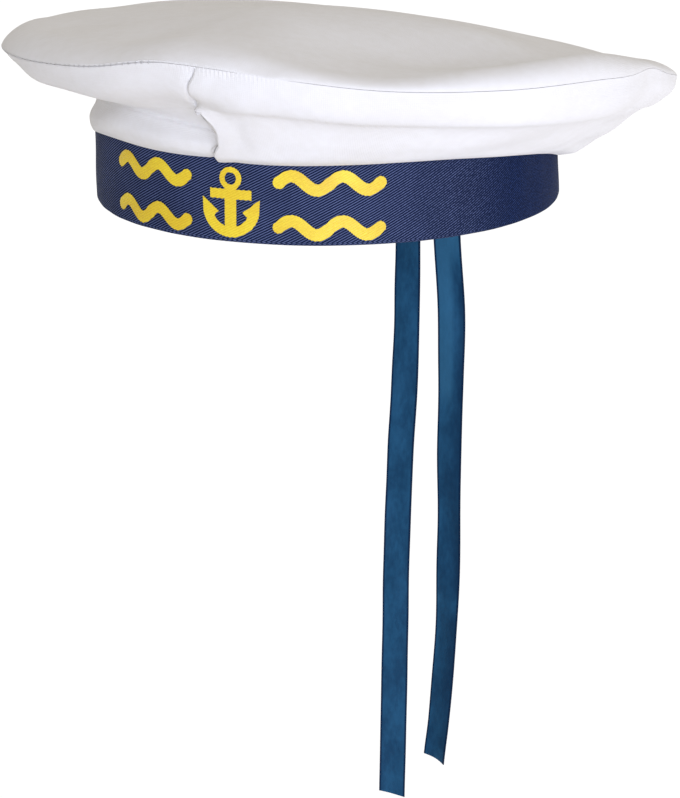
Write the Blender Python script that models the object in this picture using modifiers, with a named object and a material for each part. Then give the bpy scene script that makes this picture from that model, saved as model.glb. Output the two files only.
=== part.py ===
"""A white cloth sailor's cap with a navy twill band, a yellow print and two satin tails at the back.

Metres, +Z up. The origin is the centre of the head opening at the band's lower rim. The front
looks along -Y and the wearer's left is +X. An azimuth is counted from the front towards the
wearer's left, in degrees.
"""

import bisect
import math
from collections import namedtuple

import bmesh
import bpy
from mathutils import Vector

# The band: an upright oval ring round the head.
BAND_LENGTH = 0.192
BAND_WIDTH = 0.176
BAND_HEIGHT = 0.034
BAND_WALL = 0.002
BAND_EDGE = 0.0006
BAND_FACETS = 72

# The crown: a broad, soft disc of cloth whose rim is a sewn seam, higher at the front.
CLOTH_WALL = 0.0012
CROWN_RADIUS = 0.1305
RIM_HEIGHT = 0.0535
FRONT_RISE = 0.0095
LEFT_DROP = 0.003
RIM_WAVE = 0.005
RIM_ROLL = 0.008
ROLL_REACH = 0.012
CROWN_DOME = 0.0035
VALLEY_DEPTH = 0.004
VALLEY_PLACE = 0.84
VALLEY_SPREAD = 0.11
HEM_LAP = 0.0012
SECTION_STEP = 5

# The two satin tails, sewn inside the band at the back.
TAIL_WIDTH = 0.0125
TAIL_THICKNESS = 0.001
TAIL_TUCK = 0.024
RIGHT_TAIL_DROP = 0.3153
LEFT_TAIL_DROP = 0.2903
RIGHT_TAIL_SEAT = -0.0045
LEFT_TAIL_SEAT = 0.0130
TAIL_SEGMENTS = 36

# The print on the band's front: an anchor between pairs of waves.
PRINT_HEIGHT = 0.0245
PRINT_LENGTH = 0.108
PRINT_FILM = 0.0004
PRINT_SHIFT = 0.006
STROKE = 0.0042
ANCHOR_WIDTH = 0.021
WAVE_SWING = 0.0024
WAVE_COUNT = 2
WAVE_CLEAR = 0.0045
PRINT_STRIP = 0.003

# Clearances between neighbouring pieces.
SEAM_GAP = 0.0003
SEAT_GAP = 0.0003
TAIL_GAP = 0.0006

# One row for each section of the crown. Lengths are shares of the sizes that they follow:
# reach of CROWN_RADIUS, wave of RIM_WAVE, roll of RIM_ROLL, valley of VALLEY_DEPTH and hem of
# BAND_HEIGHT. The lip, tuck and belly of the side cloth are shares of the way from its hem to
# the rim seam, outwards and upwards.
Section = namedtuple(
    "Section",
    "azimuth reach wave roll valley lip_out lip_up tuck_out tuck_up belly_out belly_up hem",
)
SECTIONS = (
    Section(-155, 0.985, 0.76, 0.80, 0.30, 0.39, 0.50, 0.17, 0.44, 0.11, 0.21, 0.76),
    Section(-130, 0.965, 0.62, 0.95, 0.20, 0.30, 0.48, 0.09, 0.44, 0.08, 0.21, 0.76),
    Section(-100, 0.945, -0.26, 1.00, 0.20, 0.24, 0.50, 0.02, 0.43, 0.04, 0.21, 0.73),
    Section(-75, 0.942, -0.88, 0.98, 0.30, 0.22, 0.51, -0.01, 0.40, 0.03, 0.21, 0.72),
    Section(-55, 0.942, -0.90, 0.90, 0.25, 0.20, 0.49, -0.01, 0.39, 0.03, 0.19, 0.77),
    Section(-30, 0.955, -0.90, 0.95, 0.10, 0.25, 0.50, 0.00, 0.40, 0.09, 0.18, 0.86),
    Section(-15, 0.97, -0.32, 0.97, 0.05, 0.34, 0.52, 0.05, 0.40, 0.13, 0.18, 0.85),
    Section(0, 0.985, 0.44, 0.98, 0.10, 0.48, 0.54, 0.24, 0.45, 0.18, 0.18, 0.83),
    Section(15, 0.99, 0.08, 1.00, 0.20, 0.64, 0.61, 0.52, 0.56, 0.31, 0.21, 0.82),
    Section(30, 0.99, -0.28, 0.85, 0.50, 0.68, 0.61, 0.58, 0.55, 0.33, 0.22, 0.83),
    Section(50, 0.995, 0.02, 0.56, 0.90, 0.72, 0.58, 0.63, 0.53, 0.34, 0.19, 0.83),
    Section(70, 1.00, 0.92, 0.55, 1.00, 0.75, 0.59, 0.67, 0.53, 0.34, 0.15, 0.76),
    Section(90, 1.00, 0.60, 0.62, 0.70, 0.79, 0.68, 0.68, 0.58, 0.31, 0.14, 0.63),
    Section(110, 1.00, -0.20, 0.74, 0.30, 0.80, 0.71, 0.67, 0.58, 0.27, 0.12, 0.45),
    Section(130, 1.00, -0.68, 0.78, 0.20, 0.73, 0.68, 0.57, 0.56, 0.23, 0.13, 0.43),
    Section(155, 1.00, -0.62, 0.80, 0.20, 0.57, 0.62, 0.41, 0.50, 0.18, 0.19, 0.54),
    Section(180, 0.995, 0.20, 0.80, 0.30, 0.46, 0.56, 0.27, 0.46, 0.14, 0.21, 0.69),
)

# Where the top cloth has rings, as shares of the way from its centre to its shoulder.
FIELD_RINGS = (0.22, 0.42, 0.58, 0.7, 0.79, 0.86, 0.93)
ROLL_STEPS = 4
SPAN_STEPS = (2, 2, 2, 3, 3, 1)

# How the front seam strays from the front, in degrees, at the profile's marks from rim to hem.
SEAM_STRAY = (4.8, 2.9, -0.3, 1.2, 3.0, 1.2, 1.2)
STRAY_SPREAD = 25.0

# How each tail hangs: down is a share of its drop, sway a share of TAIL_WIDTH towards the
# wearer's left of its seat, and turn the angle of its width from the X axis, in degrees.
Hang = namedtuple("Hang", "down sway turn")
RIGHT_TAIL_HANG = (
    Hang(0.14, 0.09, -6),
    Hang(0.29, 0.11, -2),
    Hang(0.43, 0.0, 2),
    Hang(0.6, -0.08, 7),
    Hang(0.8, -0.06, 11),
    Hang(1.0, -0.06, 13),
)
LEFT_TAIL_HANG = (
    Hang(0.13, 0.18, -1),
    Hang(0.25, 0.43, 2),
    Hang(0.34, 0.47, -3),
    Hang(0.45, 0.49, -11),
    Hang(0.62, 0.58, -14),
    Hang(0.8, 0.56, -16),
    Hang(1.0, 0.3, -20),
)


def clear_scene():
    """Remove every object that the scene starts with."""
    for obj in list(bpy.data.objects):
        bpy.data.objects.remove(obj, do_unlink=True)


def make_material(name, color, roughness, sheen=0.0):
    """A Principled material with one colour and roughness."""
    material = bpy.data.materials.new(name)
    material.use_nodes = True
    shader = material.node_tree.nodes["Principled BSDF"]
    shader.inputs["Base Color"].default_value = (*color, 1.0)
    shader.inputs["Roughness"].default_value = roughness
    shader.inputs["Metallic"].default_value = 0.0
    shader.inputs["Sheen Weight"].default_value = sheen
    material.diffuse_color = (*color, 1.0)
    return material


def add_object(name, mesh, material, collection, parent):
    """Put a mesh into the cap's collection as one named piece."""
    mesh.name = name
    obj = bpy.data.objects.new(name, mesh)
    collection.objects.link(obj)
    obj.parent = parent
    obj.data.materials.append(material)
    obj.data.shade_smooth()
    obj.data.set_sharp_from_angle(angle=math.radians(40))
    return obj


def hermite(knots, values, at):
    """A smooth curve through values at rising knots, read at one place."""
    spans = len(knots) - 1
    steps = [knots[i + 1] - knots[i] for i in range(spans)]
    slopes = [(values[i + 1] - values[i]) / steps[i] for i in range(spans)]

    def tangent(i):
        if i == 0:
            return slopes[0]
        if i == spans:
            return slopes[-1]
        whole = steps[i - 1] + steps[i]
        return (steps[i] * slopes[i - 1] + steps[i - 1] * slopes[i]) / whole

    i = min(max(bisect.bisect_right(knots, at) - 1, 0), spans - 1)
    t = (at - knots[i]) / steps[i]
    start = tangent(i) * steps[i]
    end = tangent(i + 1) * steps[i]
    rise = 3 * t**2 - 2 * t**3
    near = t**3 - 2 * t**2 + t
    far = t**3 - t**2
    return values[i] * (1 - rise) + values[i + 1] * rise + start * near + end * far


def section_at(azimuth):
    """The crown's section between the table's rows, which run on round the cap."""
    turned = (azimuth + 180) % 360 - 180
    rows = [r._replace(azimuth=r.azimuth - 360) for r in SECTIONS[-3:]]
    rows += SECTIONS
    rows += [r._replace(azimuth=r.azimuth + 360) for r in SECTIONS[:3]]
    knots = [r.azimuth for r in rows]
    columns = zip(*rows)
    return Section(*(hermite(knots, column, turned) for column in columns))


def band_radius(azimuth, outward=0.0):
    """Distance from the axis to the band's outer face, moved outwards, at an azimuth."""
    a = math.radians(azimuth)
    across = math.sin(a) / (BAND_WIDTH / 2 + outward)
    along = math.cos(a) / (BAND_LENGTH / 2 + outward)
    return 1 / math.hypot(across, along)


def plane_height(radius, azimuth):
    """Height of the tilted plane that the crown's rim follows."""
    a = math.radians(azimuth)
    tilt = FRONT_RISE * math.cos(a) - LEFT_DROP * math.sin(a)
    return RIM_HEIGHT + tilt * radius / CROWN_RADIUS


def rim_point(azimuth):
    """Radius and height of the crown's rim seam."""
    row = section_at(azimuth)
    height = plane_height(CROWN_RADIUS, azimuth) + RIM_WAVE * row.wave
    return CROWN_RADIUS * row.reach, height


def top_profile(azimuth):
    """Outer face of the top cloth from its shoulder ring inwards to the rim seam, as (r, z)."""
    row = section_at(azimuth)
    rim_r, rim_z = rim_point(azimuth)
    roll = RIM_ROLL * row.roll
    reach = ROLL_REACH * row.roll
    shoulder = rim_r - reach
    lift = rim_z + roll - plane_height(shoulder, azimuth)
    middle = RIM_ROLL + CROWN_DOME
    points = []
    for share in FIELD_RINGS:
        blend = share**2
        dent = VALLEY_DEPTH * row.valley
        dent *= math.exp(-(((share - VALLEY_PLACE) / VALLEY_SPREAD) ** 2))
        height = plane_height(shoulder * share, azimuth)
        height += middle * (1 - blend) + lift * blend - dent
        points.append((shoulder * share, height))
    for step in range(ROLL_STEPS + 1):
        turn = math.pi / 2 * step / ROLL_STEPS
        across = shoulder + reach * math.sin(turn)
        points.append((across, rim_z + roll * math.cos(turn)))
    points[-1] = (rim_r, rim_z + SEAM_GAP / 2)
    return points


def crown_centre():
    """Height of the top cloth at the cap's axis."""
    return plane_height(0.0, 0.0) + RIM_ROLL + CROWN_DOME


def side_profile(azimuth):
    """Outer face of the side cloth from the rim seam down to its hem on the band, as (r, z)."""
    row = section_at(azimuth)
    rim_r, rim_z = rim_point(azimuth)
    hem_r = band_radius(azimuth, SEAT_GAP + CLOTH_WALL)
    hem_z = BAND_HEIGHT * row.hem

    def place(out, up):
        return hem_r + (rim_r - hem_r) * out, hem_z + (rim_z - hem_z) * up

    lip = place(row.lip_out, row.lip_up)
    wall = (rim_r * 0.78 + lip[0] * 0.22, (rim_z + lip[1]) / 2)
    marks = [
        (rim_r, rim_z - SEAM_GAP / 2),
        wall,
        lip,
        place(row.tuck_out, row.tuck_up),
        place(row.belly_out, row.belly_up),
        (hem_r, hem_z + HEM_LAP),
        (hem_r, hem_z),
    ]
    knots = [0.0]
    for a, b in zip(marks, marks[1:]):
        knots.append(knots[-1] + math.dist(a, b))
    across = [m[0] for m in marks]
    upward = [m[1] for m in marks]
    points = [marks[0]]
    for i, steps in enumerate(SPAN_STEPS):
        for step in range(1, steps + 1):
            at = knots[i] + (knots[i + 1] - knots[i]) * step / steps
            points.append((hermite(knots, across, at), hermite(knots, upward, at)))
    return points


def inner_face(points, first, last):
    """A profile moved one cloth wall inwards. first and last are its directions at the ends."""
    moved = []
    for i, (r, z) in enumerate(points):
        if i == 0:
            run = Vector(first)
        elif i == len(points) - 1:
            run = Vector(last)
        else:
            before = (Vector(points[i]) - Vector(points[i - 1])).normalized()
            after = (Vector(points[i + 1]) - Vector(points[i])).normalized()
            run = before + after
        run.normalize()
        moved.append((r + run.y * CLOTH_WALL, z - run.x * CLOTH_WALL))
    return moved


def ring_point(radius, height, azimuth):
    """A point of the cap from its radius, height and azimuth."""
    a = math.radians(azimuth)
    return Vector((radius * math.sin(a), -radius * math.cos(a), height))


def loft(sections, closed):
    """A mesh through closed outlines that have as many points each, capped if it has ends."""
    bm = bmesh.new()
    rings = [[bm.verts.new(p) for p in section] for section in sections]
    count = len(rings[0])
    pairs = list(zip(rings, rings[1:]))
    if closed:
        pairs.append((rings[-1], rings[0]))
    for a, b in pairs:
        for i in range(count):
            j = (i + 1) % count
            bm.faces.new((a[i], a[j], b[j], b[i]))
    if not closed:
        half = count // 2
        for ring in (rings[0], rings[-1]):
            for i in range(half - 1):
                bm.faces.new((ring[i], ring[i + 1], ring[-2 - i], ring[-1 - i]))
    bmesh.ops.recalc_face_normals(bm, faces=bm.faces)
    mesh = bpy.data.meshes.new("loft")
    bm.to_mesh(mesh)
    bm.free()
    return mesh


def make_top_panel():
    """The top cloth: a shallow domed disc that rolls over to the rim seam."""
    bm = bmesh.new()
    azimuths = range(-180, 180, SECTION_STEP)
    rings = []
    for azimuth in azimuths:
        outer = top_profile(azimuth)
        inner = inner_face(outer, Vector(outer[1]) - Vector(outer[0]), (0, -1))
        outline = outer + inner[::-1]
        rings.append([bm.verts.new(ring_point(r, z, azimuth)) for r, z in outline])
    for a, b in zip(rings, rings[1:] + rings[:1]):
        for i in range(len(a) - 1):
            bm.faces.new((a[i], a[i + 1], b[i + 1], b[i]))
    for end, drop in ((0, 0.0), (-1, CLOTH_WALL)):
        pole = bm.verts.new((0.0, 0.0, crown_centre() - drop))
        for a, b in zip(rings, rings[1:] + rings[:1]):
            bm.faces.new((pole, a[end], b[end]))
    bmesh.ops.recalc_face_normals(bm, faces=bm.faces)
    mesh = bpy.data.meshes.new("top_panel")
    bm.to_mesh(mesh)
    bm.free()
    return mesh


def make_side_panel(start):
    """Half of the side cloth, from a seam at azimuth start round to the opposite seam."""
    trim = math.degrees(SEAM_GAP / BAND_LENGTH)
    azimuths = [start + step for step in range(0, 181, SECTION_STEP)]
    azimuths[0] += trim
    azimuths[-1] -= trim
    strays = []
    for i, steps in enumerate(SPAN_STEPS):
        for step in range(steps):
            strays.append(hermite(range(len(SEAM_STRAY)), SEAM_STRAY, i + step / steps))
    strays.append(SEAM_STRAY[-1])
    sections = []
    for azimuth in azimuths:
        turned = (azimuth + 180) % 360 - 180
        fade = math.exp(-((turned / STRAY_SPREAD) ** 2))
        outer, inner = [], []
        for i, stray in enumerate(strays):
            place = azimuth + stray * fade
            face = side_profile(place)
            back = inner_face(face, (0, -1), (0, -1))
            outer.append(ring_point(*face[i], place))
            inner.append(ring_point(*back[i], place))
        sections.append(outer + inner[::-1])
    return loft(sections, closed=False)


def make_band(name, material, collection, parent):
    """The band: an open oval tube with a wall and eased edges."""
    bpy.ops.mesh.primitive_cylinder_add(
        vertices=BAND_FACETS,
        radius=0.5,
        depth=BAND_HEIGHT,
        end_fill_type="NOTHING",
        location=(0, 0, BAND_HEIGHT / 2),
    )
    band = bpy.context.object
    band.scale = (BAND_WIDTH, BAND_LENGTH, 1)
    bpy.ops.object.transform_apply(location=False, rotation=False, scale=True)
    for holder in list(band.users_collection):
        holder.objects.unlink(band)
    collection.objects.link(band)
    band.parent = parent
    band.name = name
    band.data.name = name
    band.data.materials.append(material)
    wall = band.modifiers.new("Wall", "SOLIDIFY")
    wall.thickness = BAND_WALL
    wall.offset = -1
    edge = band.modifiers.new("Edge", "BEVEL")
    edge.width = BAND_EDGE
    edge.segments = 1
    edge.limit_method = "ANGLE"
    edge.angle_limit = math.radians(60)
    band.data.shade_smooth()
    band.data.set_sharp_from_angle(angle=math.radians(40))
    return band


def oval_table(outward):
    """Arc length and angle along the band's outer oval moved outwards, from its front."""
    steps = 720
    half_x = BAND_WIDTH / 2 + outward
    half_y = BAND_LENGTH / 2 + outward
    arcs, angles = [0.0], [0.0]
    for i in range(1, steps + 1):
        t = math.pi * i / steps
        middle = t - math.pi / steps / 2
        speed = math.hypot(half_x * math.cos(middle), half_y * math.sin(middle))
        arcs.append(arcs[-1] + speed * math.pi / steps)
        angles.append(t)
    return arcs, angles


def wrap_on_band(mesh, outward):
    """Bend a flat print round the band: its x is an arc length, y a height, z a way out."""
    arcs, angles = oval_table(outward)
    for vertex in mesh.vertices:
        arc = vertex.co.x + PRINT_SHIFT
        i = min(bisect.bisect_right(arcs, abs(arc)), len(arcs) - 1)
        share = (abs(arc) - arcs[i - 1]) / (arcs[i] - arcs[i - 1])
        t = math.copysign(angles[i - 1] + (angles[i] - angles[i - 1]) * share, arc)
        away = outward + vertex.co.z
        x = (BAND_WIDTH / 2 + away) * math.sin(t)
        y = -(BAND_LENGTH / 2 + away) * math.cos(t)
        vertex.co = (x, y, print_middle() + vertex.co.y)


def print_middle():
    """Height of the print's middle: halfway up what shows of the band at its front."""
    return BAND_HEIGHT * section_at(0).hem / 2


def arc(centre, radius, start, end, steps):
    """Points on an arc, with angles in degrees from +X."""
    points = []
    for i in range(steps + 1):
        a = math.radians(start + (end - start) * i / steps)
        points.append((centre[0] + radius * math.cos(a), centre[1] + radius * math.sin(a)))
    return points


def anchor_outlines():
    """The anchor's outline and its ring's eye, on a flat ground."""
    half = PRINT_HEIGHT / 2
    stem = STROKE / 2
    ring = STROKE * 0.95
    ring_middle = (0.0, half - ring)
    bowl = ANCHOR_WIDTH / 2
    bowl_middle = (0.0, bowl - half)
    stock_y = ring_middle[1] - ring - STROKE * 0.35
    stock_x = ANCHOR_WIDTH * 0.36
    stock = STROKE * 0.4
    leave = math.degrees(math.asin(stem / ring))
    inside = bowl - STROKE * 0.85
    enter = math.degrees(math.acos(stem / inside))
    side = arc(ring_middle, ring, 90, leave - 90, 6)
    side += [(stem, stock_y + stock), (stock_x, stock_y + stock)]
    side += [(stock_x, stock_y - stock), (stem, stock_y - stock)]
    side += arc(bowl_middle, inside, -enter, -28, 5)
    tip = bowl_middle[1] + STROKE * 0.75
    side += [(bowl - STROKE * 1.45, bowl_middle[1] - STROKE * 0.4), (bowl, tip)]
    side += arc(bowl_middle, bowl, -12, -90, 7)
    outline = side + [(-x, y) for x, y in side[-2:0:-1]]
    eye = arc(ring_middle, ring - STROKE * 0.45, 0, 330, 11)
    return [outline, eye]


def wave_outlines(start, end, height):
    """One wave line with round ends, between two places along the print."""
    radius = STROKE / 2
    length = end - start - STROKE
    rate = 2 * math.pi * WAVE_COUNT / length
    count = 9 * WAVE_COUNT
    upper, lower = [], []
    for i in range(count + 1):
        x = start + radius + length * i / count
        angle = rate * (x - start - radius)
        y = height + WAVE_SWING * math.sin(angle)
        slope = math.atan(WAVE_SWING * rate * math.cos(angle))
        side_x, side_y = radius * math.sin(slope), radius * math.cos(slope)
        upper.append((x - side_x, y + side_y))
        lower.append((x + side_x, y - side_y))
    tilt = math.degrees(math.atan(WAVE_SWING * rate))
    last = (start + radius + length, height)
    first = (start + radius, height)
    nose = arc(last, radius, 90 + tilt, tilt - 90, 6)[1:-1]
    tail = arc(first, radius, tilt - 90, tilt - 270, 6)[1:-1]
    return [upper + nose + lower[::-1] + tail]


def make_print(name, outlines):
    """A print's film: flat outlines filled and thickened, cut into strips and bent on the band."""
    flat = bpy.data.curves.new(name, "CURVE")
    flat.dimensions = "2D"
    flat.fill_mode = "BOTH"
    flat.extrude = PRINT_FILM / 2
    for outline in outlines:
        spline = flat.splines.new("POLY")
        spline.points.add(len(outline) - 1)
        spline.use_cyclic_u = True
        for point, (x, y) in zip(spline.points, outline):
            point.co = (x, y, 0, 1)
    holder = bpy.data.objects.new(name, flat)
    bpy.context.scene.collection.objects.link(holder)
    graph = bpy.context.evaluated_depsgraph_get()
    mesh = bpy.data.meshes.new_from_object(holder.evaluated_get(graph))
    bpy.data.objects.remove(holder, do_unlink=True)
    bm = bmesh.new()
    bm.from_mesh(mesh)
    bmesh.ops.remove_doubles(bm, verts=bm.verts, dist=0.00001)
    low = min(v.co.x for v in bm.verts)
    high = max(v.co.x for v in bm.verts)
    strips = max(1, round((high - low) / PRINT_STRIP))
    for i in range(1, strips):
        cut = low + (high - low) * i / strips
        everything = bm.verts[:] + bm.edges[:] + bm.faces[:]
        bmesh.ops.bisect_plane(
            bm, geom=everything, plane_co=(cut, 0, 0), plane_no=(1, 0, 0), dist=0.00001
        )
    bmesh.ops.recalc_face_normals(bm, faces=bm.faces)
    bm.to_mesh(mesh)
    bm.free()
    wrap_on_band(mesh, SEAT_GAP + PRINT_FILM / 2)
    return mesh


def tail_place(seat, drop, hang, down):
    """Middle of a tail and the direction of its width, down metres below the rim."""
    inner_x = BAND_WIDTH / 2 - BAND_WALL - TAIL_GAP - TAIL_THICKNESS / 2
    inner_y = BAND_LENGTH / 2 - BAND_WALL - TAIL_GAP - TAIL_THICKNESS / 2
    t = math.asin(seat / inner_x)
    wall_y = inner_y * math.cos(t)
    wall_turn = math.degrees(math.atan2(-inner_y * math.sin(t), inner_x * math.cos(t)))
    knots = [-TAIL_TUCK, 0.0] + [drop * h.down for h in hang]
    sways = [0.0, 0.0] + [TAIL_WIDTH * h.sway for h in hang]
    turns = [wall_turn, wall_turn] + [h.turn for h in hang]
    turn = math.radians(hermite(knots, turns, down))
    middle = Vector((seat + hermite(knots, sways, down), wall_y, -down))
    return middle, Vector((math.cos(turn), math.sin(turn), 0.0))


def make_tail(name, seat, drop, hang):
    """A satin tail: a strip that runs from inside the band down to its cut end."""
    bm = bmesh.new()
    bmesh.ops.create_grid(bm, x_segments=1, y_segments=TAIL_SEGMENTS, size=0.5)
    for vertex in bm.verts:
        down = (0.5 - vertex.co.y) * (drop + TAIL_TUCK) - TAIL_TUCK
        middle, width = tail_place(seat, drop, hang, down)
        vertex.co = middle + width * (TAIL_WIDTH * vertex.co.x)
    mesh = bpy.data.meshes.new(name)
    bm.to_mesh(mesh)
    bm.free()
    return mesh


def build():
    """Make the cap's pieces, each in its own object."""
    clear_scene()
    collection = bpy.data.collections.new("Sailor cap")
    bpy.context.scene.collection.children.link(collection)
    cap = bpy.data.objects.new("cap", None)
    collection.objects.link(cap)

    white = make_material("white_cloth", (0.84, 0.83, 0.84), 0.6, 0.2)
    navy = make_material("navy_twill", (0.035, 0.05, 0.115), 0.65, 0.2)
    blue = make_material("blue_satin", (0.017, 0.08, 0.18), 0.38)
    yellow = make_material("yellow_print", (0.9, 0.76, 0.11), 0.5)

    add_object("top_panel", make_top_panel(), white, collection, cap)
    add_object("side_panel_left", make_side_panel(0), white, collection, cap)
    add_object("side_panel_right", make_side_panel(180), white, collection, cap)
    make_band("band", navy, collection, cap)

    tails = (
        ("tail_right", RIGHT_TAIL_SEAT, RIGHT_TAIL_DROP, RIGHT_TAIL_HANG),
        ("tail_left", LEFT_TAIL_SEAT, LEFT_TAIL_DROP, LEFT_TAIL_HANG),
    )
    for name, seat, drop, hang in tails:
        tail = add_object(name, make_tail(name, seat, drop, hang), blue, collection, cap)
        wall = tail.modifiers.new("Wall", "SOLIDIFY")
        wall.thickness = TAIL_THICKNESS
        wall.offset = 0

    end = PRINT_LENGTH / 2
    start = ANCHOR_WIDTH / 2 + WAVE_CLEAR
    height = (PRINT_HEIGHT - STROKE) / 2 - WAVE_SWING
    prints = [("print_anchor", anchor_outlines())]
    for side, low, high in (("right", -end, -start), ("left", start, end)):
        prints.append((f"print_wave_{side}_upper", wave_outlines(low, high, height)))
        prints.append((f"print_wave_{side}_lower", wave_outlines(low, high, -height)))
    for name, outlines in prints:
        add_object(name, make_print(name, outlines), yellow, collection, cap)


build()
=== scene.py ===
"""The sailor's cap, dressed: cloth crown, twill band, yellow print and satin tails.

Metres, +Z up. The front looks along -Y and the wearer's left is +X. An azimuth is counted from
the front towards the wearer's left, in degrees.
"""

import logging
import math
from dataclasses import dataclass
from enum import Enum
from typing import ClassVar, NamedTuple

import bmesh
import bpy
import numpy as np
from mathutils import Matrix, Vector


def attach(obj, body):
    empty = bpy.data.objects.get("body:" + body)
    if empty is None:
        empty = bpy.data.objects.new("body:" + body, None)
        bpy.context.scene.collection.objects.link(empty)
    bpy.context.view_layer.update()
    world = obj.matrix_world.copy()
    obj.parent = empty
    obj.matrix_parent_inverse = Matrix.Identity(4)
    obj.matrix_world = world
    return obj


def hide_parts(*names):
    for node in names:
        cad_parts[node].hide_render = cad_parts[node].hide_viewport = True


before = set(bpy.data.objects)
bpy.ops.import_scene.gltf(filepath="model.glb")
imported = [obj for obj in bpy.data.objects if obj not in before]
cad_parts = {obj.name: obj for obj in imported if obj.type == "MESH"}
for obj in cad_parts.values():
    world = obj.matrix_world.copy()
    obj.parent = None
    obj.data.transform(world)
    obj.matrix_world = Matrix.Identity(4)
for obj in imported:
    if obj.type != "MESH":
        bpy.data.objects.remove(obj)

LOG = logging.getLogger("sailor_cap")


# Curves and surfaces that the pieces share


def smooth_rows(knots: np.ndarray, values: np.ndarray, at: np.ndarray) -> np.ndarray:
    """Read one smooth curve for each row.

    Args:
        knots: rising places on each row, shape (n, k).
        values: what the curves pass through, shape (n, k, m).
        at: where they are read, shape (n, p).

    Returns:
        The curves' values, shape (n, p, m).
    """
    steps = np.diff(knots, axis=1)[..., None]
    slopes = np.diff(values, axis=1) / steps
    tangents = np.empty_like(values)
    tangents[:, 0], tangents[:, -1] = slopes[:, 0], slopes[:, -1]
    whole = steps[:, 1:] + steps[:, :-1]
    tangents[:, 1:-1] = (steps[:, 1:] * slopes[:, :-1] + steps[:, :-1] * slopes[:, 1:]) / whole
    i = (at[:, :, None] >= knots[:, None, :]).sum(axis=2) - 1
    i = np.clip(i, 0, knots.shape[1] - 2)
    rows = np.arange(len(knots))[:, None]
    step = steps[rows, i]
    t = (at - knots[rows, i])[..., None] / step
    rise = 3 * t**2 - 2 * t**3
    near = (t**3 - 2 * t**2 + t) * step
    far = (t**3 - t**2) * step
    ends = values[rows, i] * (1 - rise) + values[rows, i + 1] * rise
    return ends + tangents[rows, i] * near + tangents[rows, i + 1] * far


def smooth(knots: np.ndarray, values: np.ndarray, at: np.ndarray) -> np.ndarray:
    """Read a smooth curve through values at rising knots.

    Args:
        knots: rising places, shape (n,).
        values: what the curve passes through, shape (n,) or (n, m).
        at: where it is read, shape (k,).

    Returns:
        The curve's values, shape (k,) or (k, m).
    """
    knots, values = np.asarray(knots, float), np.asarray(values, float)
    flat = values.ndim == 1
    values = values.reshape(len(knots), -1)
    result = smooth_rows(knots[None], values[None], np.asarray(at, float)[None])[0]
    return result[:, 0] if flat else result


def bump(distance: np.ndarray, width: float) -> np.ndarray:
    """A soft hill that is 1 at no distance and fades within about twice its width."""
    return np.exp(-((np.asarray(distance, float) / width) ** 2))


def ease(value: np.ndarray) -> np.ndarray:
    """Ease from 0 to 1 as a value goes from 0 to 1, and stay there on both sides."""
    t = np.clip(value, 0.0, 1.0)
    return t * t * (3 - 2 * t)


def turn_gap(a: np.ndarray, b: float) -> np.ndarray:
    """The angle from b to a in degrees, the short way round."""
    return (np.asarray(a, float) - b + 180.0) % 360.0 - 180.0


def ripples(across: np.ndarray, along: np.ndarray, seed: int, waves: int = 9) -> np.ndarray:
    """Gentle uneven waves over a cloth, the same on each run.

    Args:
        across: the first place on the cloth, in wavelengths.
        along: the second place on the cloth, in wavelengths.
        seed: chooses the pattern.
        waves: how many plane waves are added.

    Returns:
        Heights of about -1 to 1.
    """
    rng = np.random.default_rng(seed)
    total = np.zeros(np.broadcast(across, along).shape)
    for _ in range(waves):
        angle = rng.uniform(0, 2 * math.pi)
        rate = 2 * math.pi * rng.uniform(0.6, 1.5)
        start = rng.uniform(0, 2 * math.pi)
        total += np.sin(rate * (across * math.cos(angle) + along * math.sin(angle)) + start)
    return total / math.sqrt(waves)


def deselect_all() -> None:
    """Leave edit mode and deselect every object."""
    if bpy.context.object and bpy.context.object.mode != "OBJECT":
        bpy.ops.object.mode_set(mode="OBJECT")
    bpy.ops.object.select_all(action="DESELECT")


def pick(obj: bpy.types.Object) -> None:
    """Make one object the only selected one, and active."""
    deselect_all()
    obj.select_set(True)
    bpy.context.view_layer.objects.active = obj


def cloth_grid(name: str, places: np.ndarray, uv: np.ndarray, round_x: bool) -> bpy.types.Object:
    """Shape a grid primitive into a sheet.

    Args:
        name: the new object's name.
        places: where each grid point goes, shape (columns, rows, 3).
        uv: the cloth's own coordinates in metres, shape (columns, rows, 2).
        round_x: whether the last column lies on the first, so that they are merged.

    Returns:
        The sheet, with its place in its mesh and a UV map.
    """
    columns, rows = places.shape[:2]
    deselect_all()
    bpy.ops.mesh.primitive_grid_add(
        x_subdivisions=columns - 1, y_subdivisions=rows - 1, size=2.0, location=(0, 0, 0)
    )
    obj = bpy.context.object
    obj.name = name
    obj.data.name = name
    mesh = obj.data
    coords = np.empty(len(mesh.vertices) * 3)
    mesh.vertices.foreach_get("co", coords)
    coords = coords.reshape(-1, 3)
    i = np.rint((coords[:, 0] + 1) / 2 * (columns - 1)).astype(int)
    j = np.rint((coords[:, 1] + 1) / 2 * (rows - 1)).astype(int)
    mesh.vertices.foreach_set("co", places[i, j].ravel())
    corners = np.empty(len(mesh.loops), int)
    mesh.loops.foreach_get("vertex_index", corners)
    layer = mesh.uv_layers.active or mesh.uv_layers.new(name="Cloth")
    layer.name = "Cloth"
    layer.uv.foreach_set("vector", uv[i[corners], j[corners]].ravel())
    mesh.update()
    pick(obj)
    bpy.ops.object.mode_set(mode="EDIT")
    bpy.ops.mesh.select_all(action="SELECT")
    bpy.ops.mesh.flip_normals()
    if round_x:
        bpy.ops.mesh.remove_doubles(threshold=0.00001)
    bpy.ops.object.mode_set(mode="OBJECT")
    return obj


def add_attribute(obj: bpy.types.Object, name: str, values: np.ndarray) -> None:
    """Store one number for each vertex of a mesh."""
    layer = obj.data.attributes.new(name, "FLOAT", "POINT")
    layer.data.foreach_set("value", np.asarray(values, float).ravel())


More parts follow.
